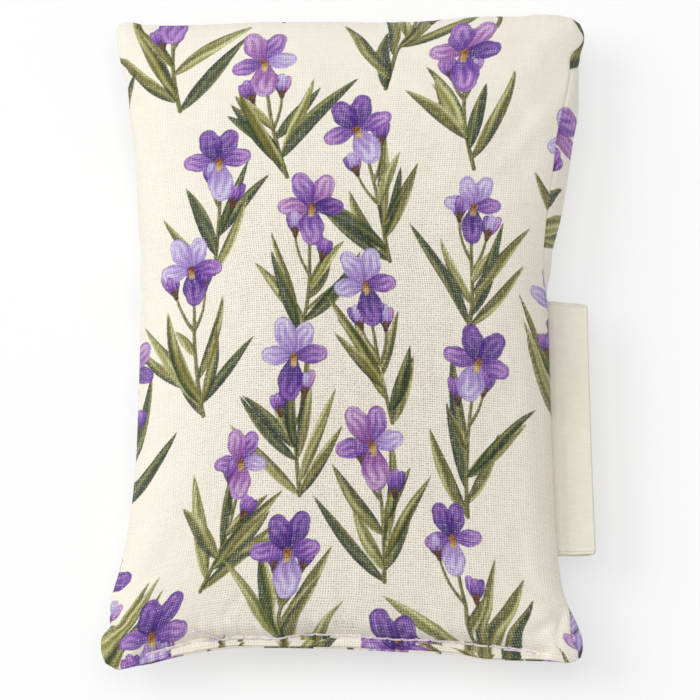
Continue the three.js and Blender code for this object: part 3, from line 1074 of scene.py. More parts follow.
@dataclass
class Sprig:
    """One violet plant of the print: lance leaves, stems, an open blossom and buds.

    Headings are from +Y. A pair of leaf or bud sizes is the least and the most, in millimetres.
    Each petal of the blossom is a heading, a length and half a width, in millimetres too.
    """

    target: PrintedField
    foot: tuple[float, float]
    lean: float
    height: float
    hand: int
    seed: int
    stem_half: float = 0.50 * MM
    twig_half: float = 0.42 * MM
    leaf_lengths: tuple[float, float] = (15, 27)
    leaf_halves: tuple[float, float] = (1.15, 1.80)
    bud_lengths: tuple[float, float] = (4.2, 5.4)
    bud_half: float = 1.15 * MM
    sepal_length: float = 2.2 * MM
    sepal_half: float = 0.6 * MM
    throat_length: float = 1.6 * MM
    throat_half: float = 0.8 * MM
    petals: tuple = (
        (0.42, 6.2, 2.5), (-0.42, 6.4, 2.6), (1.55, 5.8, 2.1), (-1.55, 5.9, 2.1), (math.pi, 6.6, 3.0),
    )  # fmt: skip
    draw: np.random.Generator = field(init=False, repr=False)

    def __post_init__(self) -> None:
        """Start the sprig's random draws."""
        self.draw = np.random.default_rng(self.seed)

    def build(self) -> None:
        """Print the sprig, its leaves first and its blossom last."""
        draw, hand = self.draw, self.hand
        curl = hand * draw.uniform(0.15, 0.40)
        stem = bent(np.array(self.foot), self.lean - curl / 2, self.height, curl)
        for k in range(int(draw.integers(5, 8))):
            way = hand * (1 if k % 2 else -1)
            base = stem[int(draw.integers(0, 5))]
            angle = self.lean + way * draw.uniform(0.22, 0.95)
            self.leaf(base, angle, way * draw.uniform(-0.6, 0.3))
        self.line(stem, self.stem_half)
        for way in (hand, -hand):
            base = stem[int(draw.integers(4, 8))]
            twig = bent(base, self.lean + way * 0.65, draw.uniform(0.20, 0.32) * self.height, -way * 0.5)
            self.line(twig, self.twig_half)
            self.bud(twig[-1], self.lean + way * 0.15)
        self.leaf(stem[5], self.lean - hand * 0.5, -hand * 0.2, 0.55)
        self.blossom(stem[-1], self.lean + curl / 2, draw.uniform(0.9, 1.12))

    def line(self, spine: np.ndarray, half: float) -> None:
        """Print a thin stem that tapers a little."""
        self.target.stroke(Layer.STEM, spine, lambda t: half * (1.1 - 0.3 * t), STALK)

    def leaf(self, base: np.ndarray, angle: float, curl: float, size: float = 1.0) -> None:
        """Print a lance leaf, streaked from a light side to a dark one.

        Args:
            base: Where it starts.
            angle: Its first heading.
            curl: How far it turns.
            size: Its length, as a share of a full leaf's.
        """
        length = self.draw.uniform(*self.leaf_lengths) * MM * size
        half = self.draw.uniform(*self.leaf_halves) * MM * (0.5 + 0.5 * size)
        layer = (Layer.STEM, Layer.LOW_LEAF, Layer.LEAF)[int(self.draw.integers(3))]
        ink = LEAVES[int(self.draw.integers(len(LEAVES)))]
        if self.draw.random() < 0.5:
            ink = replace(ink, across=-ink.across)
        spine = bent(base, angle, length, curl)
        self.target.stroke(
            layer, spine, lambda t: half * np.sin(np.pi * np.clip(t, 0, 1) ** 0.75) ** 0.8, ink
        )

    def petal(self, layer: Layer, base: np.ndarray, angle: float, size: tuple, ink: Ink) -> None:
        """Print a petal, narrow at its base and round at its tip.

        Args:
            layer: The layer it goes to.
            base: Where it starts.
            angle: Its heading.
            size: Its length and half its width.
            ink: Its colours.
        """
        length, half = size
        spine = bent(base, angle, length, 0.0, 6)
        self.target.stroke(layer, spine, lambda t: half * (0.25 + 0.75 * np.sin(np.pi * t**1.25 / 1.35)), ink)

    def bud(self, tip: np.ndarray, angle: float) -> None:
        """Print a closed bud on the tip of a twig: three folded petals in a calyx."""
        inks = BUDS[0] if self.draw.random() < 0.5 else BUDS[1]
        layers = (Layer.LOW_BLOOM, Layer.LOW_BLOOM, Layer.BLOOM)
        for turn, ink, layer in zip((-0.28, 0.30, 0.0), inks, layers):
            length = self.draw.uniform(*self.bud_lengths) * MM
            self.petal(layer, tip, angle + turn, (length, self.bud_half), ink)
        for turn in (-0.45, 0.0, 0.45):
            spine = bent(tip, angle + turn, self.sepal_length, 0.0, 3)
            self.target.stroke(Layer.BLOOM, spine, lambda t: self.sepal_half * (1 - 0.75 * t), CALYX)

    def blossom(self, centre: np.ndarray, angle: float, size: float) -> None:
        """Print an open violet: two upright petals, two at the sides and a broad one below.

        Args:
            centre: Its middle.
            angle: Its heading.
            size: Its size, as a share of the usual one.
        """
        inks = BLOSSOMS[int(self.draw.integers(len(BLOSSOMS)))]
        layers = (Layer.LOW_BLOOM, Layer.BLOOM, Layer.BLOOM, Layer.LOW_BLOOM, Layer.BLOOM)
        for (turn, length, half), ink, layer in zip(self.petals, inks, layers):
            turn += self.draw.uniform(-0.12, 0.12)
            stretch = size * self.draw.uniform(0.9, 1.08) * MM
            self.petal(layer, centre, angle + turn, (length * stretch, half * size * MM), ink)
        spine = bent(centre, angle + math.pi, self.throat_length * size, 0.0, 3)
        self.target.stroke(Layer.BLOOM, spine, lambda t: self.throat_half * size * (1 - 0.3 * t), THROAT)


@dataclass
class VioletPrint:
    """An all-over print of violet sprigs, each column half a step from the next.

    The heights are shares of the usual height, the stray of a foot is in millimetres, and all
    feet are shifted along by a share of a row's step.
    """

    column_step: float = 22.0 * MM
    row_step: float = 37.0 * MM
    height: float = 31.0 * MM
    heights: tuple[float, float] = (0.85, 1.1)
    most_lean: float = 0.35
    stray: float = 3.0
    row_shift: float = 0.35
    columns: int = 6
    rows: int = 5

    def field(self, x: np.ndarray, y: np.ndarray, seed: int) -> PrintedField:
        """Print a panel.

        Args:
            x: Places across the flat cloth.
            y: Places along it.
            seed: Seed of the sprigs' differences.

        Returns:
            The printed field.
        """
        target = PrintedField(x.ravel(), y.ravel())
        draw = np.random.default_rng(seed)
        for row in range(self.rows - 1, -1, -1):
            for column in range(self.columns):
                drop = 0.5 if column % 2 else 0.0
                counts = column - (self.columns - 1) / 2, row - drop - self.rows / 2 + self.row_shift
                foot = tuple(
                    count * step + draw.uniform(-self.stray, self.stray) * MM
                    for count, step in zip(counts, (self.column_step, self.row_step))
                )
                lean = draw.uniform(-self.most_lean, self.most_lean)
                height = self.height * draw.uniform(*self.heights)
                hand = 1 if (row + column) % 2 else -1
                Sprig(target, foot, lean, height, hand, seed * 100 + row * 10 + column).build()
        return target


# The cover


@dataclass
class Cover:
    """The two printed panels, closed by three hidden seams and a stitched hem.

    A pair named an edge is where something starts to fade in and where it is full. Lumps are
    rows of a height and a spacing. In millimetres are the row insets (rows of a place across and
    an inset) with their window, the fold lines (rows of both ends, a width and a height) and the
    edge steps, at which the grid's lines crowd together at the rim.
    """

    form: CoverForm
    design: VioletPrint = field(default_factory=VioletPrint)
    cloth: float = 0.5 * MM
    columns: int = 248
    rows: int = 344
    edge_steps: tuple = (0.0, 0.12, 0.28, 0.5, 0.85)
    seam_round: float = 0.55 * MM
    seam_gap: float = 0.03 * MM
    stitch: float = 3.0 * MM
    hem_lip: float = 0.75 * MM
    lip_edge: tuple[float, float] = (1.6 * MM, -0.1 * MM)
    level_edge: tuple[float, float] = (1.8 * MM, 0.2 * MM)
    row_pinch: float = 0.62 * MM
    row_width: float = 0.55 * MM
    row_reach: float = 14.0 * MM
    gather_height: float = 0.25 * MM
    gather_place: float = 1.8 * MM
    gather_width: float = 2.2 * MM
    gather_size: float = 3.1 * MM
    lumps: tuple = ((0.22 * MM, 11.0 * MM), (0.10 * MM, 3.6 * MM), (0.05 * MM, 1.9 * MM))
    lump_edge: tuple[float, float] = (1.0 * MM, 9.0 * MM)
    pucker_height: float = 0.15 * MM
    pucker_pitch: float = 2.7 * MM
    pucker_reach: float = 1.8 * MM
    pucker_edge: tuple[float, float] = (0.0, 1.0 * MM)
    wander_size: float = 9.0 * MM
    swell_size: float = 7.0 * MM
    inset_window: float = 1.2
    row_insets: tuple = (
        (-45, 1.8), (-38, 2.1), (-34.7, 2.15), (-31.2, 2.55), (-28.9, 2.7), (-25.9, 2.2), (-22, 2.05),
        (-13, 2.05), (-10.3, 2.55), (-5.7, 2.9), (4, 2.9), (8.5, 2.45), (14.5, 2.4), (20, 2.5), (25, 2.55),
        (29.5, 2.8), (32.3, 2.65), (35.4, 2.25), (38.4, 1.95), (41.5, 1.45), (44, 1.45),
    )  # fmt: skip
    nick_place: float = -61.5 * MM
    nick_depth: float = 1.0 * MM
    nick_width: float = 1.1 * MM
    nick_reach: float = 6.0 * MM
    back_overhang: float = 0.55 * MM
    hang_edge: tuple[float, float] = (2.0 * MM, 0.4 * MM)
    allowance: float = 5.0 * MM
    turn_start: float = 0.45 * MM
    turn_end: float = 0.9 * MM
    inner_step: int = 4
    inner_overlap: float = 0.1 * MM
    rim_window: int = 4
    plain_edge: tuple[float, float] = (-0.97, -0.99)
    plain_corner: int = 12
    label_span: tuple[float, float] = (-46.4 * MM, 7.9 * MM)
    label_pack: float = 0.40 * MM
    label_ease: float = 1.5 * MM
    label_reach: float = 1.6 * MM
    fold_edge: tuple[float, float] = (0.2 * MM, 2.4 * MM)
    fold_waver: float = 0.5 * MM
    fold_start: tuple[float, float] = (-0.15, 0.25)
    fold_end: tuple[float, float] = (1.1, 0.55)
    fold_lines: tuple = (
        (50, -61, 40, -69, 1.3, -0.50), (-50, -62, -41, -69.5, 1.3, -0.45), (49, -66, 38, -52, 2.2, 0.35),
        (-49, -66, -37, -50, 2.4, 0.35), (46, -58, 30, -44, 2.6, -0.30), (-47, -57, -31, -40, 2.8, -0.28),
        (49, 69, 34, 47, 2.6, 0.34), (44, 70, 26, 52, 2.4, -0.24), (50, 58, 36, 33, 2.8, -0.36),
        (47, 40, 30, 17, 3.2, -0.30), (49, 48, 35, 30, 2.4, 0.30), (-49, 69, -36, 48, 2.6, 0.32),
        (-43, 70, -28, 54, 2.2, -0.22), (-49, 58, -37, 36, 2.8, -0.26), (-46, 12, -34, -2, 3.0, -0.22),
        (45, -12, 30, -26, 3.2, -0.22), (-24, -69, -19, -56, 1.5, -0.26), (3, -69, 1, -57, 1.4, -0.24),
        (22, -69, 18, -58, 1.5, -0.26), (-9, -69, -7, -60, 1.3, 0.22), (33, -69, 28, -59, 1.4, 0.24),
        (53, -56.4, 46.6, -70, 0.75, -0.50), (-53, -57.2, -46.2, -70, 0.9, -0.42),
    )  # fmt: skip
    u: np.ndarray = field(init=False, repr=False)
    v: np.ndarray = field(init=False, repr=False)
    outer: dict = field(init=False, repr=False)

    def __post_init__(self) -> None:
        """Work out both outer faces."""
        self.u = self.crowded(self.columns, self.form.flat_width)
        self.v = self.crowded(self.rows, self.form.flat_height)
        row = -1 + 2 / self.form.along
        self.row_index = int(np.abs(self.v - row).argmin())
        self.v[self.row_index] = row
        self.outer = {side: self.face(side) for side in Side}

    def crowded(self, count: int, length: float) -> np.ndarray:
        """Even shares from -1 to 1 but for four closer ones at each end.

        Args:
            count: Number of steps.
            length: The real length that the shares span.

        Returns:
            The shares.
        """
        edge = np.array(self.edge_steps) * MM * 2 / length
        middle = np.linspace(-1 + edge[-1], 1 - edge[-1], count + 3 - 2 * len(edge))
        return np.concatenate([-1 + edge[:-1], middle, 1 - edge[-2::-1]])

    def row_inset(self, x: np.ndarray) -> np.ndarray:
        """How far the closing row lies above the folded hem, which wanders a little."""
        return table_curve(self.row_insets, x / MM, self.inset_window) * MM

    def face(self, side: Side) -> np.ndarray:
        """Outer face of a panel.

        The pressed surface is moved along its normals: down by a quarter circle at each seam,
        out by the folded hem's thickness, in where the stitches pull, and by lumps of filling.
        The left edge is drawn in at one nick above its hem corner. Near the hem the surface is
        read at shifted shares, which brings the form's row to the real one. Nothing of it lies
        below the table.
        """
        form, seed = self.form, RELIEF_SEEDS[side]
        u, v = np.meshgrid(self.u, self.v, indexing="ij")
        x, y = form.flat(u, v)
        hem_gap = y - form.flat(u, -np.ones_like(v))[1]
        held = form.stitched(u)
        inset = self.row_inset(x)
        shift = np.where(hem_gap < inset, hem_gap / inset, 1 - smoothstep(inset, self.row_reach, hem_gap))
        shift = shift * (inset - form.flat_height / form.along) * held / (form.flat_height / 2)
        grid = form.surface(side, self.u, v - shift)
        side_gap = form.flat(np.ones_like(v), v)[0] - np.abs(x)
        top_gap = form.flat(u, np.ones_like(v))[1] - y
        seam_gap = np.minimum(side_gap, top_gap)
        rim_gap = np.minimum(seam_gap, hem_gap)
        away = smoothstep(*self.lump_edge, rim_gap)
        move = self.folds(x, y, side) * smoothstep(*self.fold_edge, rim_gap)
        for k, (height, size) in enumerate(self.lumps):
            move += away * height * soft_noise(x, y, size, seed + k)
        seam_run = np.where(side_gap < top_gap, y, x)
        wander = 2.4 * soft_noise(x, y, self.wander_size, seed + 3)
        swell = 0.5 + 0.5 * soft_noise(x, y, self.swell_size, seed + 4)
        pucker = np.sin(seam_run * (2 * math.pi / self.pucker_pitch) + wander) * swell
        pucker *= np.exp(-seam_gap / self.pucker_reach) * smoothstep(*self.pucker_edge, seam_gap)
        move += self.pucker_height * pucker
        stitch = np.cos(x * (2 * math.pi / self.stitch))
        above_row = hem_gap - inset
        gather = 0.7 + 0.4 * stitch + 1.4 * soft_noise(x, y * 0.3, self.gather_size, seed + 5)
        move += gather * self.gather_height * bell(above_row - self.gather_place, self.gather_width) * held
        lip = held * smoothstep(*self.lip_edge, above_row)
        pinch = self.row_pinch * (0.75 + 0.25 * stitch) * bell(above_row, self.row_width)
        move += lip * (self.hem_lip - pinch)
        turned_in = np.clip(1 - rim_gap / self.seam_round, 0, 1)
        quarter = np.sqrt(np.maximum(1 - turned_in**2, 0))
        move = move * quarter - self.seam_round * (1 - quarter) * (1 - lip)
        low, high = self.label_span
        parted = smoothstep(low - self.label_ease, low, grid[..., 1])
        parted *= smoothstep(high + self.label_ease, high, grid[..., 1])
        parted *= (u > 0) * bell(side_gap, self.label_reach) * self.label_pack
        out = np.array([0, 0, float(side.value)])
        corner = (np.abs(u * v) ** form.corner_sharpness)[..., None]
        level = (held * smoothstep(*self.level_edge, above_row))[..., None]
        normal = grid_normals(grid) * side.value
        way = unit(normal * (1 - corner - level) - self.inward(u, v) * corner + out * level)
        face = grid + way * move[..., None] + out * (parted[..., None] + self.seam_gap / 2)
        nicked = bell(grid[..., 1] - self.nick_place, self.nick_width) * bell(side_gap, self.nick_reach)
        face[..., 0] += self.nick_depth * nicked * (u < 0)
        if side is Side.BACK:
            hang = held * smoothstep(*self.hang_edge, hem_gap) * self.back_overhang
            face[..., 1] -= hang * (0.7 + 0.3 * soft_noise(x, 0 * y, self.wander_size, seed + 6))
        face[..., 2] = np.maximum(face[..., 2], 0)
        return face

    def folds(self, x: np.ndarray, y: np.ndarray, side: Side) -> np.ndarray:
        """Soft folds that fan out from the corners.

        Each is a bell curve across a straight line, h * exp(-(d / w)^2), which fades towards
        both of its ends.

        Args:
            x: Places across the flat cloth.
            y: Places along it.
            side: Which panel.

        Returns:
            How far each place is moved outwards.
        """
        total = np.zeros_like(x)
        for *ends, width, height in self.fold_lines:
            start, end = np.array(ends).reshape(2, 2) * MM * np.array([side.value, 1])
            run = end - start
            length = float(np.hypot(*run))
            share = ((x - start[0]) * run[0] + (y - start[1]) * run[1]) / length**2
            off = ((x - start[0]) * run[1] - (y - start[1]) * run[0]) / length
            off = off + self.fold_waver * np.sin(share * 4 + ends[0])
            fade = smoothstep(*self.fold_start, share) * smoothstep(*self.fold_end, share)
            total += height * MM * bell(off, width * MM) * fade
        return total

    def inward(self, u: np.ndarray, v: np.ndarray) -> np.ndarray:
        """Level direction from the rim inwards, which turns evenly round the corners."""
        power = self.form.corner_sharpness
        x, y = -np.sign(u) * np.abs(u) ** power, -np.sign(v) * np.abs(v) ** power
        return unit(np.stack([x, y, np.zeros_like(x)], -1))

    def rim(self, side: Side) -> tuple[np.ndarray, np.ndarray, np.ndarray, np.ndarray]:
        """The rim of a panel, round its whole outline from the hem's left end.

        Args:
            side: Which panel.

        Returns:
            Vertex numbers, points, the direction in which the edge is turned in, and the
            direction from the joint to this panel's side of it.
        """
        shape = (len(self.u), len(self.v))
        index = rim_of(np.arange(shape[0] * shape[1]).reshape(shape))
        smooth = self.form.surface(side, self.u, self.v)
        normal = (grid_normals(smooth) * side.value).reshape(-1, 3)[index]
        u, v = (grid.ravel()[index] for grid in np.meshgrid(self.u, self.v, indexing="ij"))
        level = self.inward(u, v)
        line = smooth.reshape(-1, 3)[index]
        ahead = unit(np.roll(line, -self.rim_window, 0) - np.roll(line, self.rim_window, 0))
        plain = np.maximum(smoothstep(*self.plain_edge, v), np.abs(u * v) ** self.plain_corner)[:, None]
        turned = -normal - ahead * (-normal * ahead).sum(-1, keepdims=True)
        inward = unit(unit(turned) * (1 - plain) + level * plain)
        rise = unit(np.cross(ahead, inward)) * side.value
        rise = unit(rise * (1 - plain) + np.array([0, 0, float(side.value)]) * plain)
        return index, self.outer[side].reshape(-1, 3)[index], inward, rise

    def panel(self, side: Side) -> bpy.types.Object:
        """Build one panel as a closed piece.

        Its outer face turns in at the rim. Rings of points follow the turned-in edge there and
        back, and a coarser inner face closes the piece.

        Args:
            side: Which panel.

        Returns:
            The piece.
        """
        outer = self.outer[side]
        index = np.arange(outer[..., 0].size).reshape(outer.shape[:2])
        rim, edge, inward, rise = self.rim(side)
        depths = (self.turn_start, self.allowance, self.allowance, self.turn_end)
        lifts = (0.0, 0.0, self.cloth, self.cloth)
        rings = [edge + inward * depth + rise * lift for depth, lift in zip(depths, lifts)]
        step = self.inner_step
        normal = grid_normals(outer)[::step, ::step] * side.value
        inner = outer[::step, ::step] - normal * self.cloth
        low_edge = rim_of(np.arange(inner[..., 0].size).reshape(inner.shape[:2]))
        flat_inner = inner.reshape(-1, 3)
        flat_inner[low_edge] = (rings[-1] + rise * (0.4 * self.cloth) - inward * self.inner_overlap)[::step]
        points = np.concatenate([outer.reshape(-1, 3), *rings, flat_inner])
        size = len(rim)
        loops = [rim] + [outer[..., 0].size + k * size + np.arange(size) for k in range(len(rings))]
        faces = [*grid_faces(index)]
        for first, second in zip(loops, loops[1:]):
            faces += [*wall(first, second)]
        base = outer[..., 0].size + len(rings) * size
        inner_index = base + np.arange(inner[..., 0].size).reshape(inner.shape[:2])
        faces += [*grid_faces(inner_index)[:, ::-1]]
        last, inner_rim = loops[-1], rim_of(inner_index)
        runs = [np.roll(last, -k)[::step] for k in range(step, -1, -1)]
        faces += [*np.stack([*runs, inner_rim, np.roll(inner_rim, -1)], -1)]
        if side is Side.BACK:
            faces = [face[::-1] for face in faces]
        piece = mesh_piece("front_cover" if side is Side.FRONT else "back_cover", points, faces)
        order = np.concatenate([index.ravel(), *[rim] * len(rings), index[::step, ::step].ravel()])
        u, v = np.meshgrid(self.u, self.v, indexing="ij")
        x, y = self.form.flat(u, v)
        set_map(piece, np.stack([x.ravel(), y.ravel()], -1)[order])
        self.design.field(x, y, PRINT_SEEDS[side]).attributes(piece, order)
        return piece

    def build(self) -> None:
        """Build both panels and dress them."""
        material = PrintedCotton().material()
        for side, node in ((Side.FRONT, "front_panel"), (Side.BACK, "back_panel")):
            piece = self.panel(side)
            dress(piece, material, "printed_cotton", node)
            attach(piece, "cover")


# Threads


@dataclass
class PliedThread:
    """A thread of three plies laid along a path.

    The bluntness is the cut end's share of the radius, squared, and the height at which the
    thread's middle lies over the cloth is a share of the radius too.
    """

    radius: float = 0.25 * MM
    plies: int = 3
    lay: float = 1.1 * MM
    sides: int = 12
    groove: float = 0.16
    bluntness: float = 0.15
    height: float = 1.15
    ply_radius: float = 0.42
    ply_sides: int = 6

    def tube(self, path: np.ndarray, across: np.ndarray) -> tuple[np.ndarray, np.ndarray]:
        """A closed tube along a path.

        Its radius is r(1 - g + g cos(p(angle - twist))), where the twist grows with the length.

        Args:
            path: Points of its middle line.
            across: A direction at each point that the path never takes.

        Returns:
            Its points and its faces, numbered from zero.
        """
        ahead = unit(np.gradient(path, axis=0))
        over = unit(np.cross(ahead, across))
        level = np.cross(over, ahead)
        length = lengths(path)
        angle = np.linspace(0, 2 * math.pi, self.sides, endpoint=False)
        twist = (2 * math.pi / self.lay) * length[:, None]
        radius = self.radius * (1 - self.groove + self.groove * np.cos(self.plies * (angle - twist)))
        end = np.minimum(length, length[-1] - length)[:, None]
        radius = radius * np.sqrt(np.clip(end / self.radius + self.bluntness, 0, 1))
        ring = (
            path[:, None]
            + (radius * np.cos(angle))[..., None] * level[:, None]
            + (radius * np.sin(angle))[..., None] * over[:, None]
        )
        index = np.arange(ring[..., 0].size).reshape(ring.shape[:2])
        closed = np.concatenate([index, index[:, :1]], 1)
        faces = [*grid_faces(closed)[:, ::-1], index[0][::-1], index[-1]]
        return ring.reshape(-1, 3), faces

    def piece(
        self, name: str, paths: Sequence[tuple[np.ndarray, np.ndarray]], strands: Sequence = ()
    ) -> bpy.types.Object:
        """Build one piece from several tubes.

        Args:
            name: Name of the piece.
            paths: The middle line of each tube, and the directions across it.
            strands: The same for single plies.

        Returns:
            The piece.
        """
        points, faces, count = [], [], 0
        ply = replace(self, radius=self.radius * self.ply_radius, groove=0.0, sides=self.ply_sides)
        for k, (path, across) in enumerate([*paths, *strands]):
            ring, squares = (self if k < len(paths) else ply).tube(path, across)
            points.append(ring)
            faces += [np.asarray(face) + count for face in squares]
            count += len(ring)
        return mesh_piece(name, np.concatenate(points), faces)


@dataclass
class ClosingRow:
    """The lockstitch row that closes the hem, with its back-tacked ends and its loose tail.

    The tail's rise and sag are in rows of the cover's grid. The fray has a row for each strand:
    how far its end is pushed sideways, and its reach as a share of the tail's.
    """

    cover: Cover
    thread: PliedThread = field(default_factory=PliedThread)
    ends: tuple[float, float] = (-41.9 * MM, 39.5 * MM)
    samples: int = 24
    sink: float = 0.50 * MM
    sink_width: float = 0.17 * MM
    arch: float = 0.10 * MM
    wander: float = 0.10 * MM
    wander_size: float = 3.3 * MM
    tail_start: float = -25.8 * MM
    tail_length: float = 5.6 * MM
    tail_sway: float = 0.30 * MM
    tail_rise: float = 5.6
    tail_sag: float = 0.9
    tail_lift: float = 0.55 * MM
    tail_points: int = 70
    fray: tuple = ((0.32 * MM, 1.05), (-0.28 * MM, 1.07), (0.08 * MM, 1.12))
    fray_root: float = 0.86
    fray_start: float = 0.88
    fray_points: int = 14
    seed: int = 31

    def run(self, side: Side, first: float, last: float, shift: float, phase: float) -> tuple:
        """Path of a run of stitches on one face.

        Between two needle holes the thread lies on the cloth, and at each hole it sinks by a
        narrow bell curve.

        Args:
            side: The face it lies on.
            first: Where it starts, across the sachet.
            last: Where it ends.
            shift: How far it lies above the row, towards the top.
            phase: Share of a stitch by which its holes are shifted.

        Returns:
            Its points, and the direction across it at each.
        """
        stitch = self.cover.stitch
        x = np.linspace(first, last, int(abs(last - first) / stitch * self.samples))
        seed = self.seed + int(phase * 10) + (side is Side.BACK)
        wander = self.wander * soft_noise(x, np.zeros_like(x), self.wander_size, seed)
        row = self.row_at(x, shift + wander)
        base, lift = self.spots(side, x, row)
        above = unit(self.spots(side, x, row + 1)[0] - base)
        holes = x / stitch + phase
        off = np.abs(holes - np.round(holes)) * stitch
        rise = self.thread.radius * self.thread.height - self.sink * bell(off, self.sink_width)
        rise += self.arch * np.sin(np.pi * np.clip(off / (stitch / 2), 0, 1) / 2)
        return base + lift * rise[:, None], above

    def row_at(self, x: np.ndarray, shift: float | np.ndarray) -> np.ndarray:
        """Fractional grid row of the closing row at places across the sachet.

        Args:
            x: The places.
            shift: How far above the row, towards the top.

        Returns:
            The rows.
        """
        cover = self.cover
        line = cover.outer[Side.FRONT][:, cover.row_index, 0]
        flat_x = np.interp(x, line, cover.u) * cover.form.flat_width / 2
        share = (cover.row_inset(flat_x) + shift) / (cover.form.flat_height / 2) - 1
        return np.interp(share, cover.v, np.arange(len(cover.v)))

    def spots(self, side: Side, x: np.ndarray, row: np.ndarray) -> tuple[np.ndarray, np.ndarray]:
        """Points of a face between its grid points, and its normals there.

        Args:
            side: The face.
            x: Places across the sachet.
            row: Fractional grid rows.

        Returns:
            The points and the normals.
        """
        face = self.cover.outer[side]
        column = np.interp(x, face[:, self.cover.row_index, 0], np.arange(len(face)))
        i, j = np.floor(column).astype(int), np.floor(row).astype(int)
        s, t = (column - i)[:, None], (row - j)[:, None]
        points, normals = (between(g, i, j, s, t) for g in (face, grid_normals(face) * side.value))
        return points, unit(normals)

    def tail(self, spread: float = 0.0, reach: float = 1.0) -> tuple:
        """Path of the loose end, which lies on the crown above the row's left part.

        Args:
            spread: How far its far end is pushed sideways, for a strand of its fray.
            reach: Its length, as a share of the whole end.

        Returns:
            Its points, and the direction across it at each.
        """
        start, count = (self.fray_root, self.fray_points) if spread else (0, self.tail_points)
        share = np.linspace(start, reach, count)
        fray = spread * np.clip((share - self.fray_start) / (1 - self.fray_start), 0, None)
        x = self.tail_start - self.tail_length * share - self.tail_sway * np.sin(share * 5)
        row = self.row_at(x, 0.0) + self.tail_rise * share + self.tail_sag * np.sin(share * math.pi)
        lift = self.thread.radius * self.thread.height + self.tail_lift * smoothstep(0.45, 1.0, share)
        base, normal = self.spots(Side.FRONT, x, row)
        path = base + normal * lift[:, None]
        path[:, 1] += fray
        path[:, 2] += np.abs(fray) * 0.4
        across = np.broadcast_to(np.array([0, 1.0, 0.25]), path.shape)
        return path, across

    def build(self) -> None:
        """Build the needle thread and the bobbin thread.

        A run is given by its start and end, its shift off the row and its holes' phase. The
        bobbin thread has all runs but the last, and no tail.
        """
        first, last = self.ends
        runs = (
            (first, last, 0.0, 0.0),
            (first + 0.4 * MM, -35.5 * MM, 0.34 * MM, 0.45),
            (30.5 * MM, last - 0.5 * MM, 0.36 * MM, 0.5),
            (33.0 * MM, last - 0.2 * MM, -0.30 * MM, 0.25),
        )
        frayed = [self.tail(spread, reach) for spread, reach in self.fray]
        material = SewingThread().material()
        for side, name, node, chosen, tails, strands in (
            (Side.FRONT, "closing_needle_row", "closing_needle_thread", runs, [self.tail()], frayed),
            (Side.BACK, "closing_bobbin_row", "closing_bobbin_thread", runs[:-1], [], []),
        ):
            paths = [self.run(side, *run) for run in chosen] + tails
            piece = self.thread.piece(name, paths, strands)
            dress(piece, material, "sewing_thread", node)
            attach(piece, "cover")


@dataclass
class HiddenSeam:
    """The lockstitch seam inside the cover, up one side, along the top and down the other."""

    cover: Cover
    thread: PliedThread = field(default_factory=lambda: PliedThread(radius=0.13 * MM, sides=8, lay=2.4 * MM))
    depth: float = 1.5 * MM
    stitch: float = 2.5 * MM
    wave: float = 0.12 * MM
    step: float = 0.35 * MM
    window: int = 9
    skip: int = 18

    def build(self) -> None:
        """Build the two threads, one on each turned-in edge."""
        material = SewingThread().material()
        for side, name, node in (
            (Side.FRONT, "seam_needle_row", "seam_needle_thread"),
            (Side.BACK, "seam_bobbin_row", "seam_bobbin_thread"),
        ):
            _, line, inward, rise = self.cover.rim(side)
            first = len(self.cover.u) - 1 + self.skip
            last = len(line) - self.skip
            length = lengths(line)
            steps = np.arange(length[first], length[last - 1], self.step)
            base, across, above = (
                resample(values, length, steps) for values in (line + inward * self.depth, inward, rise)
            )
            wave = self.wave * np.abs(np.sin(steps * math.pi / self.stitch)) ** 0.4
            lift = self.cover.cloth * 1.15 + self.thread.radius + wave
            half = self.window // 2
            padded = np.pad(base + above * lift[:, None], ((half, half), (0, 0)), mode="edge")
            kernel = np.ones(self.window) / self.window
            path = np.stack([np.convolve(column, kernel, "valid") for column in padded.T], -1)
            piece = self.thread.piece(name, [(path, unit(across))])
            dress(piece, material, "sewing_thread", node)
            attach(piece, "cover")


# Label and filling


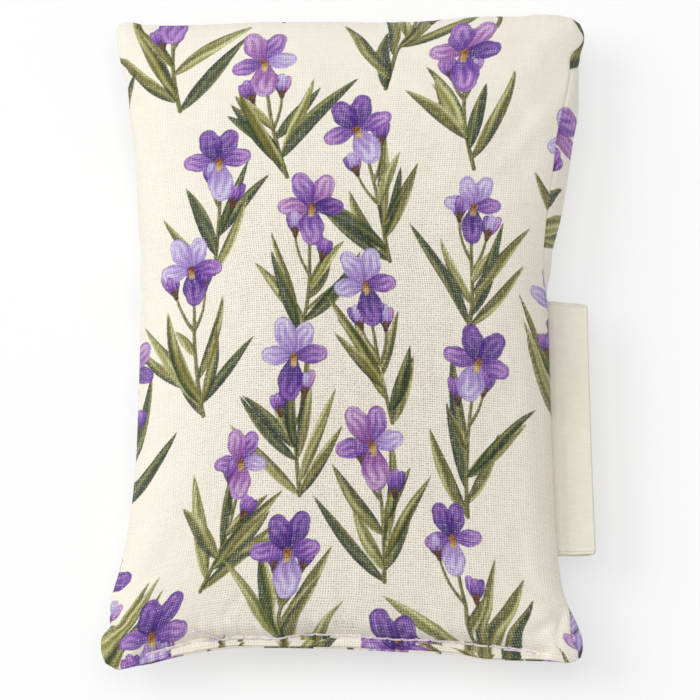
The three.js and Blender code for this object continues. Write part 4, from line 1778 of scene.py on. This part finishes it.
@dataclass
class Label:
    """A woven tape folded in half, both ends caught in the side seam.

    The bend is where its free part starts and stops bending, from the hinge outwards. The edge
    steps, at which the grid's lines crowd together at its ends, are in millimetres.
    """

    hinge: tuple[float, float, float] = (46.66 * MM, -18.0 * MM, 13.0 * MM)
    bend: tuple[float, float] = (-0.3 * MM, 2.4 * MM)
    middle: float = -19.4 * MM
    tilt: float = math.radians(1.1)
    length: float = 54.6 * MM
    root: float = 5.2 * MM
    reach: float = 5.35 * MM
    bow: float = 0.16 * MM
    slip: float = 0.15 * MM
    skew: float = 0.80 * MM
    leaf: float = 0.36 * MM
    leaf_gap: float = 0.04 * MM
    parting: tuple[float, float] = (0.2 * MM, 3.5 * MM)
    arch: float = 0.22 * MM
    fold: float = 0.36 * MM
    fold_reach: float = 0.24 * MM
    seam: float = 1.6 * MM
    dip: float = 0.70 * MM
    corner: float = 0.95 * MM
    rounding: float = 0.2 * MM
    wave: float = 0.12 * MM
    wave_size: float = 14.0 * MM
    seed: int = 41
    edge_steps: tuple = (0.0, 0.1, 0.25, 0.5)
    end_margin: float = 0.8 * MM
    steps: int = 110
    leaf_points: int = 46
    fold_points: int = 15

    def section(self) -> tuple[np.ndarray, np.ndarray, np.ndarray]:
        """Middle line of the folded tape, seen from its end.

        Two runs lie half a pack apart and a half ellipse joins them. From the seam to the fold
        both sink and rise again by a parabola.

        Returns:
            Its points in X and Z, its normals, and the length along it.
        """
        start, fold_x = -self.root, self.reach - self.fold_reach
        pack = 0.5 * self.leaf + self.leaf_gap
        run = np.linspace(start, fold_x, self.leaf_points)
        spread = pack + (self.fold - pack) * smoothstep(*self.parting, run)
        arch = self.arch * np.sin(np.pi * np.clip(run / fold_x, 0, 1))
        angle = np.linspace(math.pi / 2, -math.pi / 2, self.fold_points)[1:-1]
        x = np.concatenate([run, fold_x + self.fold_reach * np.cos(angle), run[::-1]])
        z = np.concatenate([spread + arch, self.fold * np.sin(angle), arch[::-1] * 0.2 - spread[::-1]])
        free = np.clip((x + self.seam) / (fold_x + self.seam), 0, 1)
        line = np.stack([x, z - 4 * self.dip * free * (1 - free)], -1)
        ahead = unit(np.gradient(line, axis=0))
        normal = np.stack([-ahead[:, 1], ahead[:, 0]], -1)
        return line, normal, lengths(line)

    def build(self) -> None:
        """Build the label, which bends between its sewn-in part and its free part."""
        line, normal, run = self.section()
        edge = np.array(self.edge_steps) * MM
        end = self.length / 2
        inner = np.linspace(-end + self.end_margin, end - self.end_margin, self.steps)
        along = np.concatenate([-end + edge, inner, end - edge[::-1]])
        inset = end - np.abs(along)
        half = self.leaf / 2 * np.sqrt(
            np.clip(1 - (1 - np.clip(inset / self.rounding, 0, 1)) ** 2, 0.04, 1)
        )
        wave = self.wave * soft_noise(along, np.zeros_like(along), self.wave_size, self.seed)
        free = smoothstep(0, 4 * MM, line[:, 0])
        over = np.clip(1 - inset / self.corner, 0, 1)
        drop = self.corner * (1 - np.sqrt(1 - over**2)) + self.bow * (1 - (2 * along / self.length) ** 2)
        slip = -self.slip * smoothstep(0.35, 0.65, run / run[-1])
        reached = np.clip((line[:, 0] + self.seam) / (self.reach + self.seam), 0, 1)
        askew = self.skew * reached[:, None] * (0.5 + along / self.length)
        sheets = []
        for way in (1, -1):
            x = line[:, 0, None] + way * normal[:, 0, None] * half
            x = x - drop * smoothstep(0.3 * self.reach, self.reach, x)
            z = line[:, 1, None] + way * normal[:, 1, None] * half + free[:, None] * wave
            y = along[None] + slip[:, None] - askew
            sheets.append(np.stack([x, y, z], -1))
        cos, sin = math.cos(self.tilt), math.sin(self.tilt)
        hinge_x, hinge_y, hinge_z = self.hinge
        spin = np.array([[cos, sin, 0], [-sin, cos, 0], [0, 0, 1]])
        piece = two_faced("folded_label", np.stack(sheets) @ spin + np.array([hinge_x, self.middle, hinge_z]))
        flat = np.stack(np.broadcast_arrays(run[:, None], along[None]), -1)
        set_map(piece, np.concatenate([flat, flat]).reshape(-1, 2))
        tape = TwillTape(half_length=self.length / 2)
        dress(piece, tape.material(), "label_tape", "label_flap", "label_root")
        start, end = ((hinge_x + out * cos, hinge_y + out * sin, hinge_z) for out in self.bend)
        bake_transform(piece, "cover", "label", start=start, end=end)
        LOG.info("%s: flat size %.1f by %.1f mm", piece.name, self.length / MM, run[-1] / MM)


@dataclass
class Filling:
    """The dried buds, as one lumpy mass that follows the inside of the cover."""

    form: CoverForm
    side_share: float = 0.955
    low_share: float = -0.93
    high_share: float = 0.965
    inset: float = 1.3 * MM
    lump: float = 0.45 * MM
    lump_size: float = 2.1 * MM
    seed: int = 51
    columns: int = 90
    rows: int = 124

    def build(self) -> None:
        """Build the mass from two inset faces and the wall that joins them."""
        u = np.linspace(-self.side_share, self.side_share, self.columns + 1)
        v = np.linspace(self.low_share, self.high_share, self.rows + 1)
        sheets = []
        for side in Side:
            grid = self.form.surface(side, u, v)
            normal = grid_normals(grid) * side.value
            noise = soft_noise(grid[..., 0], grid[..., 1], self.lump_size, self.seed + side.value)
            sheets.append(grid - normal * (self.inset + self.lump * np.abs(noise))[..., None])
        piece = two_faced("bud_filling", np.stack(sheets))
        dress(piece, DriedBuds().material(), "dried_flowers", "dried_flower_filling")
        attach(piece, "cover")


# Studio


@dataclass
class Studio:
    """White paper, soft lamps and the camera above the sachet.

    A lamp is given by its name, place, size and power. The lens is in millimetres.
    """

    target: tuple[float, float, float] = (1.06 * MM, -2.7 * MM, 14 * MM)
    elevation: float = math.radians(78)
    azimuth: float = math.radians(6)
    distance: float = 0.744
    lens: float = 180.0
    sensor: float = 36.0
    nearest: float = 0.01
    floor_size: float = 6.0
    floor_height: float = -0.02 * MM
    sky: float = 0.48
    lamps: tuple = (("key", (-0.80, 0.25, 0.90), 0.7, 5.9), ("top", (0.0, 0.0, 1.25), 0.8, 4.4))

    @staticmethod
    def placed(data: bpy.types.ID, place: Sequence, back: np.ndarray, top: Sequence) -> bpy.types.Object:
        """Put a camera or a lamp in the scene.

        Args:
            data: Its data, which has its name.
            place: Where it stands.
            back: The direction that it turns its back to, of length 1.
            top: The direction that its upper side is nearest to.

        Returns:
            The new object.
        """
        right = unit(np.cross(np.array(top), back))
        matrix = np.eye(4)
        matrix[:3] = np.stack([right, np.cross(back, right), back, place], -1)
        placed = bpy.data.objects.new(data.name, data)
        bpy.context.scene.collection.objects.link(placed)
        placed.matrix_world = matrix.T.tolist()
        return placed

    def camera(self) -> None:
        """Set the camera at the photograph's angle: azimuth 0 looks along +Y."""
        data = bpy.data.cameras.new("camera")
        data.lens = self.lens
        data.sensor_width = self.sensor
        data.clip_start = self.nearest
        flat = math.cos(self.elevation)
        way = np.array(
            [flat * math.sin(self.azimuth), -flat * math.cos(self.azimuth), math.sin(self.elevation)]
        )
        back = way / np.linalg.norm(way)
        place = np.array(self.target) + back * self.distance
        bpy.context.scene.camera = self.placed(data, place, back, (0, 1.0, 0))

    def lamp(self, name: str, place: tuple, size: float, power: float) -> None:
        """Add a square lamp that points at the sachet."""
        data = bpy.data.lights.new(name, "AREA")
        data.size = size
        data.energy = power
        self.placed(data, place, unit(np.array(place)), (0, 1.0, 0.1))

    def build(self) -> None:
        """Build the floor, the lamps, the world and the camera."""
        half, low = self.floor_size / 2, self.floor_height
        corners = np.array([[-half, -half, low], [half, -half, low], [half, half, low], [-half, half, low]])
        floor = mesh_piece("studio_floor", corners, [[0, 1, 2, 3]])
        floor.data.materials.append(StudioFloor().material())
        for lamp in self.lamps:
            self.lamp(*lamp)
        world = bpy.data.worlds.new("studio")
        world.use_nodes = True
        bpy.context.scene.world = world
        light = world.node_tree.nodes["Background"]
        light.inputs["Color"].default_value = (1, 1, 1, 1)
        light.inputs["Strength"].default_value = self.sky
        bpy.context.scene.view_settings.view_transform = "Standard"
        self.camera()


def main() -> None:
    """Build every piece in order."""
    logging.basicConfig(level=logging.INFO, format="%(name)s: %(message)s")
    Studio().build()
    form = CoverForm()
    cover = Cover(form)
    cover.build()
    ClosingRow(cover).build()
    HiddenSeam(cover).build()
    Label().build()
    Filling(form).build()
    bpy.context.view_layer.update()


if __name__ == "__main__":
    main()
